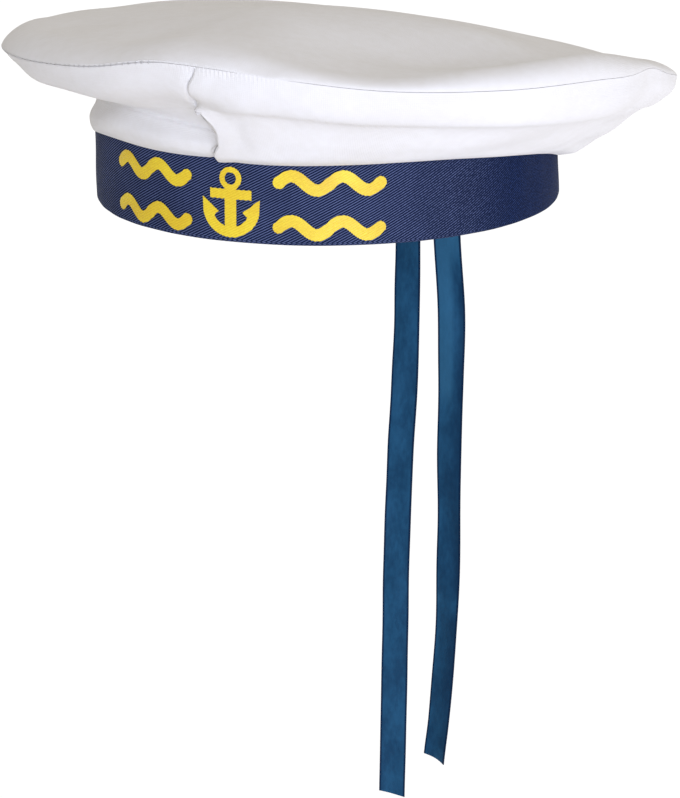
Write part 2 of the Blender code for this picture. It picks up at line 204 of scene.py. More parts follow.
def apply_modifiers(obj: bpy.types.Object) -> None:
    """Apply an object's modifiers in their order."""
    pick(obj)
    for modifier in list(obj.modifiers):
        bpy.ops.object.modifier_apply(modifier=modifier.name)


def give_wall(obj: bpy.types.Object, thickness: float, offset: float) -> None:
    """Give a sheet its wall with an applied Solidify modifier."""
    wall = obj.modifiers.new("Wall", "SOLIDIFY")
    wall.thickness = thickness
    wall.offset = offset
    wall.use_even_offset = False
    apply_modifiers(obj)


def smooth_faces(obj: bpy.types.Object, angle: float = 50.0) -> None:
    """Shade an object smooth where its faces meet below an angle in degrees."""
    pick(obj)
    bpy.ops.object.shade_smooth_by_angle(angle=math.radians(angle))


def face_outwards(obj: bpy.types.Object) -> None:
    """Turn a closed mesh's faces outwards."""
    pick(obj)
    bpy.ops.object.mode_set(mode="EDIT")
    bpy.ops.mesh.select_all(action="SELECT")
    bpy.ops.mesh.normals_make_consistent(inside=False)
    bpy.ops.object.mode_set(mode="OBJECT")


def dress(obj: bpy.types.Object, material: bpy.types.Material, slot: str, *nodes: str) -> None:
    """Give a piece its finish, its body and the nodes that it stands for."""
    obj.data.materials.clear()
    obj.data.materials.append(material)
    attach(obj, "root")
    if nodes:
        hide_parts(*nodes)


# Finishes


class NodeKit:
    """Adds shader nodes to a tree in few words."""

    def __init__(self, tree: bpy.types.NodeTree) -> None:
        """Keep the tree that nodes go into."""
        self.tree = tree

    def node(self, kind: str, **settings) -> bpy.types.Node:
        """Add a node and set its properties."""
        made = self.tree.nodes.new(kind)
        for name, value in settings.items():
            setattr(made, name, value)
        return made

    def link(self, source, target) -> None:
        """Join an output to an input."""
        self.tree.links.new(source, target)

    def feed(self, node: bpy.types.Node, values: dict) -> bpy.types.Node:
        """Set or link a node's inputs, by name or number.

        Args:
            node: the node whose inputs are fed.
            values: a number, colour or output for each input.

        Returns:
            The same node.
        """
        for key, value in values.items():
            socket = node.inputs[key]
            if isinstance(value, bpy.types.NodeSocket):
                self.link(value, socket)
            else:
                socket.default_value = value
        return node

    def math(self, operation: str, a, b=None, c=None):
        """Add a Math node and return its output."""
        made = self.node("ShaderNodeMath", operation=operation)
        values = {0: a}
        if b is not None:
            values[1] = b
        if c is not None:
            values[2] = c
        return self.feed(made, values).outputs[0]

    def mix(self, factor, a, b):
        """Mix two colours and return the result."""
        made = self.node("ShaderNodeMix", data_type="RGBA")
        self.feed(made, {0: factor, 6: a, 7: b})
        return made.outputs[2]

    def ramp(self, value, low: float, high: float, to_low: float = 0.0, to_high: float = 1.0):
        """Map a value from one range to another, clamped and eased."""
        made = self.node("ShaderNodeMapRange", interpolation_type="SMOOTHSTEP")
        self.feed(made, {0: value, 1: low, 2: high, 3: to_low, 4: to_high})
        return made.outputs[0]

    def noise(self, vector, scale: float, detail: float = 3.0, rough: float = 0.5):
        """Add a noise texture and return its factor."""
        made = self.node("ShaderNodeTexNoise")
        self.feed(made, {"Vector": vector, "Scale": scale, "Detail": detail, "Roughness": rough})
        return made.outputs["Fac"]


class ThreadLines:
    """A node group of parallel threads: a height from 0 to 1 that repeats across a direction."""

    NAME = "Thread lines"

    @classmethod
    def group(cls) -> bpy.types.NodeTree:
        """Return the group, built the first time."""
        found = bpy.data.node_groups.get(cls.NAME)
        if found:
            return found
        tree = bpy.data.node_groups.new(cls.NAME, "ShaderNodeTree")
        sockets = tree.interface
        sockets.new_socket("Place", in_out="INPUT", socket_type="NodeSocketVector")
        sockets.new_socket("Across", in_out="INPUT", socket_type="NodeSocketVector")
        sockets.new_socket("Pitch", in_out="INPUT", socket_type="NodeSocketFloat")
        sockets.new_socket("Waver", in_out="INPUT", socket_type="NodeSocketFloat")
        sockets.new_socket("Height", in_out="OUTPUT", socket_type="NodeSocketFloat")
        kit = NodeKit(tree)
        start = kit.node("NodeGroupInput")
        end = kit.node("NodeGroupOutput")
        dot = kit.node("ShaderNodeVectorMath", operation="DOT_PRODUCT")
        kit.feed(dot, {0: start.outputs["Place"], 1: start.outputs["Across"]})
        uneven = kit.noise(start.outputs["Place"], 900.0, 2.0)
        phase = kit.math("DIVIDE", dot.outputs["Value"], start.outputs["Pitch"])
        shift = kit.math("MULTIPLY", uneven, start.outputs["Waver"])
        turned = kit.math("MULTIPLY", kit.math("ADD", phase, shift), 2 * math.pi)
        wave = kit.math("SINE", turned)
        height = kit.math("MULTIPLY_ADD", wave, 0.5, 0.5)
        kit.link(height, end.inputs["Height"])
        return tree

    @classmethod
    def place(cls, kit: NodeKit, where, across: tuple, pitch: float, waver: float):
        """Put the group into a material and return its height."""
        node = kit.node("ShaderNodeGroup", node_tree=cls.group())
        kit.feed(node, {"Place": where, "Across": across, "Pitch": pitch, "Waver": waver})
        return node.outputs["Height"]


class Mottle:
    """A node group of soft uneven patches, such as dye and handling leave on cloth."""

    NAME = "Mottle"

    @classmethod
    def group(cls) -> bpy.types.NodeTree:
        """Return the group, built the first time."""
        found = bpy.data.node_groups.get(cls.NAME)
        if found:
            return found
        tree = bpy.data.node_groups.new(cls.NAME, "ShaderNodeTree")
        sockets = tree.interface
        sockets.new_socket("Place", in_out="INPUT", socket_type="NodeSocketVector")
        sockets.new_socket("Broad", in_out="INPUT", socket_type="NodeSocketFloat")
        sockets.new_socket("Fine", in_out="INPUT", socket_type="NodeSocketFloat")
        sockets.new_socket("Factor", in_out="OUTPUT", socket_type="NodeSocketFloat")
        kit = NodeKit(tree)
        start = kit.node("NodeGroupInput")
        end = kit.node("NodeGroupOutput")
        parts = []
        for name, detail in (("Broad", 2.0), ("Fine", 4.0)):
            noise = kit.node("ShaderNodeTexNoise")
            kit.feed(
                noise,
                {
                    "Vector": start.outputs["Place"],
                    "Scale": start.outputs[name],
                    "Detail": detail,
                },
            )
            parts.append(noise.outputs["Fac"])
        both = kit.math("MULTIPLY_ADD", parts[0], 0.62, kit.math("MULTIPLY", parts[1], 0.38))
        kit.link(kit.ramp(both, 0.32, 0.68), end.inputs["Factor"])
        return tree

    @classmethod
    def place(cls, kit: NodeKit, where, broad: float, fine: float):
        """Put the group into a material and return its factor."""
        node = kit.node("ShaderNodeGroup", node_tree=cls.group())
        kit.feed(node, {"Place": where, "Broad": broad, "Fine": fine})
        return node.outputs["Factor"]


def start_material(name: str) -> tuple[bpy.types.Material, NodeKit, bpy.types.Node]:
    """Make an empty node material.

    Args:
        name: the material's name.

    Returns:
        The material, a kit for its tree and its Principled shader.
    """
    material = bpy.data.materials.new(name)
    material.use_nodes = True
    kit = NodeKit(material.node_tree)
    shader = material.node_tree.nodes["Principled BSDF"]
    return material, kit, shader


def set_relief(kit: NodeKit, shader: bpy.types.Node, height, depth: float) -> None:
    """Feed a height through a Bump node into a shader's normal, depth in metres."""
    relief = kit.node("ShaderNodeBump")
    kit.feed(relief, {"Height": height, "Distance": depth, "Strength": 1.0})
    kit.link(relief.outputs["Normal"], shader.inputs["Normal"])


class Piece(Enum):
    """Which cloth of the crown a white finish is for."""

    TOP = "white top cloth"
    SIDE = "white side cloth"
    THREAD = "white seam thread"


@dataclass(frozen=True)
class WhiteCloth:
    """Smooth matt white cloth in a fine plain weave, puckered along its rim seam."""

    light: tuple[float, float, float] = (0.90, 0.895, 0.90)
    shade: tuple[float, float, float] = (0.85, 0.838, 0.825)
    pitch: float = 0.00062
    relief: float = 0.00007
    pucker_pitch: float = 0.0013
    pucker_relief: float = 0.00012

    def material(self, piece: Piece) -> bpy.types.Material:
        """Build the finish for one cloth of the crown."""
        material, kit, shader = start_material(piece.value)
        uv = kit.node("ShaderNodeUVMap", uv_map="Cloth").outputs["UV"]
        warp = ThreadLines.place(kit, uv, (1.0, 0.0, 0.0), self.pitch, 0.25)
        weft = ThreadLines.place(kit, uv, (0.0, 1.0, 0.0), self.pitch, 0.25)
        weave = kit.math("MULTIPLY", kit.math("ADD", warp, weft), 0.5)
        patches = Mottle.place(kit, uv, 22.0, 260.0)
        tone = kit.mix(patches, (*self.light, 1.0), (*self.shade, 1.0))
        gap = kit.math("MULTIPLY", kit.math("SUBTRACT", 1.0, weave), 0.10)
        dark = tuple(c * 0.72 for c in self.shade)
        color = kit.mix(gap, tone, (*dark, 1.0))
        kit.link(color, shader.inputs["Base Color"])
        height = kit.math("MULTIPLY", weave, self.relief)
        if piece is not Piece.THREAD:
            near = kit.node("ShaderNodeAttribute", attribute_name="pucker").outputs["Fac"]
            ticks = ThreadLines.place(kit, uv, (1.0, 0.0, 0.0), self.pucker_pitch, 0.35)
            tuft = kit.math("MULTIPLY", ticks, kit.math("MULTIPLY", near, self.pucker_relief))
            height = kit.math("ADD", height, tuft)
        crumple = kit.noise(uv, 60.0, 4.0, 0.55)
        height = kit.math("MULTIPLY_ADD", crumple, 0.0004, height)
        set_relief(kit, shader, height, 1.0)
        shader.inputs["Roughness"].default_value = 0.82
        shader.inputs["Sheen Weight"].default_value = 0.12
        shader.inputs["Sheen Roughness"].default_value = 0.45
        shader.inputs["Specular IOR Level"].default_value = 0.25
        return material


TWILL_ANGLE = math.radians(28.0)
TWILL_ACROSS = (-math.sin(TWILL_ANGLE), math.cos(TWILL_ANGLE), 0.0)
TWILL_PITCH = 0.00082


@dataclass(frozen=True)
class NavyTwill:
    """Navy twill: pale diagonal lines over a dark ground; painted shade darkens the lines at the wearer's left
    end, and they stay dark round the back.
    """

    ridge: tuple[float, float, float] = (0.128, 0.165, 0.335)
    # The ridges' colour where painted shade darkens them.
    shaded_ridge: tuple[float, float, float] = (0.029, 0.058, 0.185)
    groove: tuple[float, float, float] = (0.005, 0.011, 0.040)
    relief: float = 0.00016

    def material(self) -> bpy.types.Material:
        """Build the finish."""
        material, kit, shader = start_material("navy twill cloth")
        uv = kit.node("ShaderNodeUVMap", uv_map="Cloth").outputs["UV"]
        lines = ThreadLines.place(kit, uv, TWILL_ACROSS, TWILL_PITCH, 0.16)
        floats = ThreadLines.place(kit, uv, (1.0, 0.35, 0.0), 0.00047, 0.3)
        raised = kit.ramp(lines, 0.40, 0.82)
        body = kit.math("MULTIPLY", raised, kit.math("MULTIPLY_ADD", floats, 0.35, 0.65))
        patches = Mottle.place(kit, uv, 45.0, 700.0)
        parts = kit.node("ShaderNodeSeparateXYZ")
        kit.link(uv, parts.inputs[0])
        # Painted shade: the pale ridges turn dark navy at the wearer's left end of the front and stay dark round
        # the back, standing in for the shade under the crown's overhang at that end.
        back = kit.ramp(parts.outputs["X"], -0.15, -0.22)
        painted_shade_mask = kit.math("MAXIMUM", kit.ramp(parts.outputs["X"], 0.086, 0.120), back)
        speckled = kit.math("MAXIMUM", kit.ramp(parts.outputs["X"], 0.040, 0.105), back)
        grain = kit.ramp(kit.noise(uv, 1500.0, 1.0, 0.5), 0.40, 0.62, -0.85, 1.35)
        body = kit.math("MULTIPLY", body, kit.math("MULTIPLY_ADD", speckled, grain, 1.0))
        shaded_ridge = kit.mix(painted_shade_mask, (*self.ridge, 1.0), (*self.shaded_ridge, 1.0))
        worn_shaded_ridge = kit.mix(painted_shade_mask, (*(c * 0.72 for c in self.ridge), 1.0), (*self.shaded_ridge, 1.0))
        pale = kit.mix(patches, shaded_ridge, worn_shaded_ridge)
        color = kit.mix(body, (*self.groove, 1.0), pale)
        kit.link(color, shader.inputs["Base Color"])
        set_relief(kit, shader, kit.math("MULTIPLY", body, self.relief), 1.0)
        shader.inputs["Roughness"].default_value = 0.62
        shader.inputs["Specular IOR Level"].default_value = 0.03
        return material


@dataclass(frozen=True)
class BlueSatin:
    """Petrol-blue satin ribbon: fine cross ribs, soft patches, dark woven edges, and painted highlights and
    painted shade.
    """

    bright: tuple[float, float, float] = (0.017, 0.091, 0.192)
    deep: tuple[float, float, float] = (0.009, 0.053, 0.122)
    # The edge colour serves both the dark woven edges and the painted shade; the colour after it is the painted
    # highlight.
    edge: tuple[float, float, float] = (0.003, 0.020, 0.060)
    painted_highlight: tuple[float, float, float] = (0.035, 0.150, 0.280)
    width: float = 0.0125
    selvedge: float = 0.0009
    rib_pitch: float = 0.00045
    rib_relief: float = 0.00005

    def material(self) -> bpy.types.Material:
        """Build the finish."""
        material, kit, shader = start_material("blue satin ribbon")
        uv = kit.node("ShaderNodeUVMap", uv_map="Cloth").outputs["UV"]
        stretch = kit.node("ShaderNodeMapping")
        kit.feed(stretch, {"Vector": uv, "Scale": (1.0, 0.45, 1.0)})
        patches = Mottle.place(kit, stretch.outputs["Vector"], 110.0, 520.0)
        # Painted light: a per-vertex value below zero mixes the colour towards the edge colour as painted shade,
        # and above zero towards the pale colour as a painted highlight.
        painted_gleam = kit.node("ShaderNodeAttribute", attribute_name="painted_gleam").outputs["Fac"]
        tone = kit.mix(patches, (*self.deep, 1.0), (*self.bright, 1.0))
        tone = kit.mix(kit.ramp(painted_gleam, 0.0, -1.0), tone, (*self.edge, 1.0))
        tone = kit.mix(kit.ramp(painted_gleam, 0.0, 1.0), tone, (*self.painted_highlight, 1.0))
        parts = kit.node("ShaderNodeSeparateXYZ")
        kit.link(uv, parts.inputs[0])
        side = kit.math("ABSOLUTE", parts.outputs["X"])
        half = self.width / 2
        rim = kit.ramp(side, half - self.selvedge * 1.25, half - self.selvedge * 0.7)
        color = kit.mix(rim, tone, (*self.edge, 1.0))
        kit.link(color, shader.inputs["Base Color"])
        ribs = ThreadLines.place(kit, uv, (0.0, 1.0, 0.0), self.rib_pitch, 0.4)
        floats = ThreadLines.place(kit, uv, (1.0, 0.0, 0.0), self.rib_pitch * 0.8, 0.5)
        height = kit.math("MULTIPLY", ribs, self.rib_relief)
        height = kit.math("MULTIPLY_ADD", floats, self.rib_relief * 0.5, height)
        crease = kit.noise(stretch.outputs["Vector"], 190.0, 3.0, 0.6)
        height = kit.math("MULTIPLY_ADD", crease, 0.00035, height)
        set_relief(kit, shader, height, 1.0)
        rough = kit.math("MULTIPLY_ADD", patches, 0.10, 0.36)
        kit.link(rough, shader.inputs["Roughness"])
        shader.inputs["Specular IOR Level"].default_value = 0.06
        return material


@dataclass(frozen=True)
class YellowPrint:
    """A thin yellow film pressed into the twill, whose lines show through it."""

    bright: tuple[float, float, float] = (0.93, 0.73, 0.036)
    deep: tuple[float, float, float] = (0.80, 0.54, 0.022)
    relief: float = 0.00009

    def material(self) -> bpy.types.Material:
        """Build the finish."""
        material, kit, shader = start_material("yellow film print")
        uv = kit.node("ShaderNodeUVMap", uv_map="Cloth").outputs["UV"]
        lines = ThreadLines.place(kit, uv, TWILL_ACROSS, TWILL_PITCH, 0.16)
        patches = Mottle.place(kit, uv, 60.0, 900.0)
        tone = kit.mix(patches, (*self.bright, 1.0), (*self.deep, 1.0))
        sunk = kit.math("MULTIPLY", kit.math("SUBTRACT", 1.0, lines), 0.22)
        kit.link(kit.mix(sunk, tone, (*self.deep, 1.0)), shader.inputs["Base Color"])
        set_relief(kit, shader, kit.math("MULTIPLY", lines, self.relief), 1.0)
        shader.inputs["Roughness"].default_value = 0.42
        shader.inputs["Specular IOR Level"].default_value = 0.5
        return material


# The band


@dataclass
class Band:
    """The oval twill band, with a folded lower edge and a lapped join at the back."""

    length: float = 0.192
    width: float = 0.176
    height: float = 0.034
    wall: float = 0.002
    fold: float = 0.0007
    facets: int = 480
    rows: int = 16
    draw_left: float = 0.0022
    draw_right: float = 0.0008
    draw_top: float = 0.0030

    def drawn(self, azimuth: np.ndarray, height: np.ndarray) -> np.ndarray:
        """How far the cloth is drawn in at a height by the crown's gathered sides."""
        left = self.draw_left * bump(turn_gap(azimuth, 112.0), 48.0) * ease(height / self.height)
        right = bump(turn_gap(azimuth, -66.0), 36.0)
        tucked = bump(turn_gap(azimuth, -70.0), 45.0) * ease((height - 0.0298) / 0.0035)
        return left + self.draw_right * right + self.draw_top * tucked

    def radius(self, azimuth: np.ndarray, outward: float = 0.0) -> np.ndarray:
        """Distance from the axis to the outer face, moved outwards."""
        a = np.radians(azimuth)
        across = np.sin(a) / (self.width / 2 + outward)
        along = np.cos(a) / (self.length / 2 + outward)
        return 1 / np.hypot(across, along)

    def oval(self, outward: float) -> tuple[np.ndarray, np.ndarray]:
        """Arc lengths from the front, and the oval's angles there, round to the back.

        Args:
            outward: how far the oval lies outside the band's face.

        Returns:
            Arc lengths in metres and angles in radians, both rising from 0.
        """
        angles = np.linspace(0, math.pi, 1441)
        x = (self.width / 2 + outward) * np.sin(angles)
        y = (self.length / 2 + outward) * np.cos(angles)
        arcs = np.concatenate([[0.0], np.cumsum(np.hypot(np.diff(x), np.diff(y)))])
        return arcs, angles

    def place(self, arc: np.ndarray, height: np.ndarray, outward: np.ndarray) -> np.ndarray:
        """Points at an arc length from the front, a height and a way out from the face."""
        arcs, angles = self.oval(0.0)
        arc = np.asarray(arc, float)
        t = np.sign(arc) * np.interp(np.abs(arc), arcs, angles)
        drawn = self.drawn(np.degrees(t), height)
        x = (self.width / 2 + outward - drawn) * np.sin(t)
        y = -(self.length / 2 + outward - drawn) * np.cos(t)
        return np.stack([x, y, np.asarray(height) + 0 * x], axis=-1)

    def build(self) -> bpy.types.Object:
        """Model the band as a tube of cloth turned over at its edges."""
        arcs, _ = self.oval(0.0)
        half = arcs[-1]
        columns = np.linspace(-half, half, self.facets + 1)
        profile = self.edge_profile()
        arc, row = np.meshgrid(columns, np.arange(len(profile)), indexing="ij")
        outward = profile[row, 0]
        height = profile[row, 1]
        lap = 0.0005 * ease((half - np.abs(arc) - 0.0) / 0.0008) * (arc > 0)
        lap *= 1 - ease((half - np.abs(arc) - 0.009) / 0.001)
        face = outward > -self.wall / 2
        soft = 0.00012 * ripples(arc / 0.021, height / 0.03, 5)
        places = self.place(arc, height, outward + (lap + soft) * face)
        uv = np.stack([arc, np.broadcast_to(profile[row, 2], arc.shape)], axis=-1)
        return cloth_grid("twill_band", places, uv, True)

    def edge_profile(self) -> np.ndarray:
        """Outline across the band's wall: way out, height and cloth coordinate, closed."""
        half = self.wall / 2
        points = []
        for height in np.linspace(half, self.height - half, self.rows):
            points.append((0.0, height))
        for turn in np.linspace(0, math.pi, 9)[1:-1]:
            points.append((-half + half * math.cos(turn), self.height - half + half * math.sin(turn)))
        for height in np.linspace(self.height - half, half, self.rows // 2):
            points.append((-self.wall, height))
        for turn in np.linspace(math.pi, 2 * math.pi, 9)[1:]:
            points.append((-half + half * math.cos(turn), half + half * math.sin(turn)))
        points = np.array(points)
        run = np.concatenate([[0.0], np.cumsum(np.hypot(*np.diff(points, axis=0).T))])
        return np.column_stack([points, run + half])

    def dress(self, finish: NavyTwill) -> bpy.types.Object:
        """Build the band and give it its cloth."""
        band = self.build()
        face_outwards(band)
        smooth_faces(band)
        dress(band, finish.material(), "navy_twill", "band")
        return band


# The crown


class Section(NamedTuple):
    """One section of the crown at an azimuth.

    reach is a share of the crown's radius, wave of its rim wave and hem of the band's height.
    The lip, tuck and belly are shares of the way from the hem to the rim, outwards and upwards.
    crest is the top cloth's rise above the rim in millimetres, inset how far in it lies and dip how
    far the valley behind it falls. crease is the mark where the cloth folds back under its overhang,
    groove how deep it folds, ledge how far the lower roll's upper edge stands out and bulge how far
    the wall below the rim does, in millimetres.
    """

    azimuth: float
    reach: float
    wave: float
    crest: float
    inset: float
    dip: float
    lip_out: float
    lip_up: float
    tuck_out: float
    tuck_up: float
    belly_out: float
    belly_up: float
    hem: float
    crease: float
    groove: float
    ledge: float
    bulge: float


SECTIONS = (
    Section(-155, 0.985, 0.76, 6.5, 9.8, 1.2, 0.39, 0.50, 0.17, 0.44, 0.11, 0.21, 0.76, 2.6, 1.0, 0.4, 0.0),
    Section(-130, 0.965, 0.62, 7.2, 10.8, 0.8, 0.30, 0.48, 0.07, 0.42, 0.06, 0.19, 0.76, 2.5, 1.0, 0.4, 0.0),
    Section(-100, 0.945, -0.26, 7.8, 16.0, 0.8, 0.24, 0.53, -0.03, 0.40, 0.03, 0.18, 0.73, 2.4, 0.8, 0.4, -0.6),
    Section(-75, 0.942, -0.88, 8.8, 16.0, 1.2, 0.21, 0.55, -0.06, 0.38, 0.02, 0.15, 0.72, 2.3, 0.6, 0.3, -1.0),
    Section(-55, 0.942, -0.90, 8.6, 16.0, 1.0, 0.19, 0.53, -0.065, 0.38, 0.025, 0.14, 0.77, 2.3, 0.6, 0.4, -1.0),
    Section(-30, 0.955, -0.90, 7.6, 16.0, 0.4, 0.26, 0.52, 0.00, 0.40, 0.12, 0.20, 0.86, 2.2, 0.9, 1.0, 0.0),
    Section(-15, 0.97, -0.50, 6.5, 18, 0.2, 0.36, 0.52, 0.02, 0.365, 0.15, 0.19, 0.85, 2.2, 0.9, 1.3, 0.0),
    Section(0, 0.985, 0.44, 5.0, 18.0, 0.2, 0.49, 0.55, 0.10, 0.29, 0.18, 0.16, 0.83, 2.2, 0.9, 1.2, 0.0),
    Section(3, 0.985, 0.42, 4.6, 16.0, 0.2, 0.64, 0.59, 0.14, 0.29, 0.19, 0.16, 0.83, 2.4, 0.9, 0.8, 0.3),
    Section(9, 0.988, 0.30, 4.2, 13.0, 0.3, 0.83, 0.61, 0.63, 0.54, 0.34, 0.20, 0.82, 2.5, 0.3, 0.0, 0.2),
    Section(17, 0.99, 0.05, 3.4, 10.0, 0.3, 0.86, 0.635, 0.68, 0.57, 0.38, 0.22, 0.82, 2.5, 0.3, 0.0, 0.2),
    Section(30, 0.99, -0.28, 3.0, 9.0, 1.4, 0.88, 0.63, 0.71, 0.56, 0.41, 0.23, 0.83, 2.5, 0.3, 0.0, 0.2),
    Section(50, 0.995, 0.02, 6.2, 9.0, 7.4, 0.88, 0.585, 0.74, 0.515, 0.42, 0.21, 0.83, 2.5, 0.3, 0.0, 0.2),
    Section(70, 1.00, 0.72, 7.6, 9, 8.8, 0.88, 0.565, 0.77, 0.49, 0.41, 0.17, 0.76, 2.5, 0.5, 0.0, 0.2),
    Section(90, 1.00, 0.60, 5.0, 11.5, 4.0, 0.85, 0.64, 0.74, 0.555, 0.28, 0.17, 0.63, 2.5, 0.7, 0.0, 0.3),
    Section(110, 1.00, -0.20, 4.3, 15, 1.2, 0.87, 0.75, 0.71, 0.61, 0.17, 0.07, 0.46, 2.6, 0.7, 0.0, 0.7),
    Section(130, 1.00, -0.68, 5.0, 11.5, 0.6, 0.75, 0.72, 0.60, 0.58, 0.18, 0.12, 0.45, 2.8, 0.6, 0.0, 0.4),
    Section(155, 1.00, -0.62, 7.2, 9.6, 0.8, 0.57, 0.60, 0.41, 0.48, 0.19, 0.19, 0.54, 2.9, 0.8, 0.0, 0.0),
    Section(180, 0.995, 0.20, 7.0, 9.6, 1.2, 0.46, 0.56, 0.27, 0.46, 0.14, 0.21, 0.69, 2.7, 0.9, 0.2, 0.0),
)


@dataclass
class Crown:
    """The cloth crown: a tilted disc of top cloth sewn to a side cloth that folds over the band."""

    band: Band
    radius: float = 0.1305
    rim_height: float = 0.0535
    front_rise: float = 0.0095
    left_drop: float = 0.003
    rim_wave: float = 0.005
    dome: float = 0.0140
    cloth: float = 0.0006
    seat: float = 0.0003
    seam_turn: float = 0.0008
    lap: float = 0.0005
    under: float = 1.3
    stray_steps: tuple[float, ...] = (0, 1, 2, 2.9, 3.5, 4, 5, 6)
    stray: tuple[float, ...] = (4.7, 3.0, 1.6, 2.1, 4.6, 3.7, 2.1, 1.1)
    stray_spread: float = 25.0
    top_columns: int = 480
    side_columns: int = 300
    stitch_pitch: float = 0.0027
    fold_start: float = 9.0
    fold_columns: ClassVar[tuple[str, ...]] = (
        "tuck_out",
        "tuck_up",
        "belly_out",
        "belly_up",
        "crease",
        "groove",
        "ledge",
    )

    def table(self, azimuth: np.ndarray) -> dict[str, np.ndarray]:
        """The section table's columns, read at azimuths."""
        rows = np.array(SECTIONS, float)
        before, after = rows[-3:].copy(), rows[:3].copy()
        before[:, 0] -= 360
        after[:, 0] += 360
        rows = np.vstack([before, rows, after])
        read = smooth(rows[:, 0], rows, turn_gap(azimuth, 0.0))
        return {name: read[:, i] for i, name in enumerate(Section._fields)}

    def plane(self, radius: np.ndarray, azimuth: np.ndarray) -> np.ndarray:
        """Height of the tilted plane that the rim follows."""
        a = np.radians(azimuth)
        tilt = self.front_rise * np.cos(a) - self.left_drop * np.sin(a)
        return self.rim_height + tilt * radius / self.radius

    def rim(self, azimuth: np.ndarray) -> tuple[np.ndarray, np.ndarray]:
        """Radius and height of the rim seam at azimuths."""
        row = self.table(azimuth)
        height = self.plane(self.radius, azimuth) + self.rim_wave * row["wave"]
        pinch = self.pinch(azimuth)
        return self.radius * row["reach"] - 0.25 * pinch, height + pinch

    def pinch(self, azimuth: np.ndarray) -> np.ndarray:
        """Rise of the rim seam where it kinks on the wearer's left."""
        return 0.0024 * bump(turn_gap(azimuth, 83.0), 5.5)

    def seam_gap(self, azimuth: np.ndarray) -> np.ndarray:
        """Half the rim seam's opening: wider on the wearer's right, nearly shut on the left."""
        return 0.00006 + 0.00007 * ease(turn_gap(azimuth, -178.0) / 6) * ease(-turn_gap(azimuth, 2.0) / 6)

    def top_points(self, azimuth: np.ndarray, shares: np.ndarray) -> tuple[np.ndarray, ...]:
        """Radius and height of the top cloth.

        Args:
            azimuth: azimuths, shape (n,).
            shares: places from the centre, 0, to the rim, 1, shape (m,).

        Returns:
            Radii and heights, each of shape (n, m).
        """
        row = self.table(azimuth)
        rim_r, rim_z = self.rim(azimuth)
        crest = row["crest"][:, None] / 1000 - self.pinch(azimuth)[:, None]
        inset = row["inset"][:, None] / 1000
        dip = row["dip"][:, None] / 1000
        rim_r, rim_z = rim_r[:, None], rim_z[:, None]
        edge = 0.87
        share = shares[None, :]
        inner = np.clip(share / edge, 0, 1)
        outer = np.clip((share - edge) / (1 - edge), 0, 1)
        shoulder = rim_r - inset
        radius = shoulder * inner
        level = self.plane(radius, azimuth[:, None])
        lift = rim_z + crest - self.plane(shoulder, azimuth[:, None])
        blend = inner**2
        height = level + self.dome * (1 - blend) + lift * blend
        height -= dip * (bump(inner - 0.80, 0.15) - bump(1 - 0.80, 0.15) * blend)
        turn = np.pi / 2 * outer
        bulge = inset * np.sin(turn)
        radius = np.where(share > edge, shoulder + bulge, radius)
        rolled = rim_z + crest * np.cos(turn) ** (0.9 + 70 * (inset - 0.009))
        height = np.where(share > edge, rolled, height)
        return radius, height

    def side_points(
        self, azimuth: np.ndarray, steps: np.ndarray, folds: np.ndarray | None = None
    ) -> tuple[np.ndarray, ...]:
        """Radius and height of the side cloth.

        Args:
            azimuth: azimuths, shape (n,).
            steps: places from the rim, 0, to the hem, 6, shape (m,) or (n, m).
            folds: azimuths whose tuck and lower roll are used, if not the same ones.

        Returns:
            Radii, heights and arc lengths from the rim, each of shape (n, m).
        """
        row = self.table(azimuth)
        if folds is not None:
            low = self.table(folds)
            row.update((key, low[key]) for key in self.fold_columns)
        rim_r, rim_z = self.rim(azimuth)
        hem_z = self.band.height * row["hem"]
        hem_r = self.band.radius(azimuth, self.seat + self.cloth)
        hem_r = hem_r - self.band.drawn(azimuth, hem_z)

        def at(out: np.ndarray, up: np.ndarray) -> tuple[np.ndarray, np.ndarray]:
            return hem_r + (rim_r - hem_r) * out, hem_z + (rim_z - hem_z) * up

        lip = at(row["lip_out"], row["lip_up"])
        wall = (rim_r * 0.80 + lip[0] * 0.20 + row["bulge"] / 1000, (rim_z + lip[1]) / 2)
        marks = [
            (rim_r, rim_z),
            wall,
            lip,
            at(row["tuck_out"], row["tuck_up"]),
            at(row["belly_out"], row["belly_up"]),
            at(row["belly_out"] * 0.60, row["belly_up"] * 0.35),
            (hem_r, hem_z),
        ]
        radii = np.stack([m[0] for m in marks], axis=1)
        heights = np.stack([m[1] for m in marks], axis=1)
        runs = np.hypot(np.diff(radii, axis=1), np.diff(heights, axis=1))
        knots = np.concatenate([np.zeros((len(azimuth), 1)), np.cumsum(runs, axis=1)], axis=1)
        rows = np.arange(len(azimuth))[:, None]
        steps = np.broadcast_to(steps, (len(azimuth), steps.shape[-1]))
        s = self.between(knots, rows, steps)
        both = smooth_rows(knots, np.stack([radii, heights], axis=2), s)
        r, z = both[..., 0], both[..., 1]
        past = s - self.between(knots, rows, row["crease"][:, None])
        under = ease((past + 0.0004) / 0.0009) * np.exp(-np.maximum(past, 0) / 0.0042)
        before = knots[:, 3:4] - s
        over = ease((before + 0.0005) / 0.0009) * np.exp(-np.maximum(before, 0) / 0.0035)
        depth = row["groove"][:, None] / 1000 * under + row["ledge"][:, None] / 1000 * over
        normal_r, normal_z = self.side_normal(r, z)
        return r - normal_r * depth, z - normal_z * depth, s

    @staticmethod
    def between(knots: np.ndarray, rows: np.ndarray, steps: np.ndarray) -> np.ndarray:
        """Read places between each row's knots, as steps counted from the first knot."""
        i = np.clip(steps.astype(int), 0, knots.shape[1] - 2)
        return knots[rows, i] + (knots[rows, i + 1] - knots[rows, i]) * (steps - i)

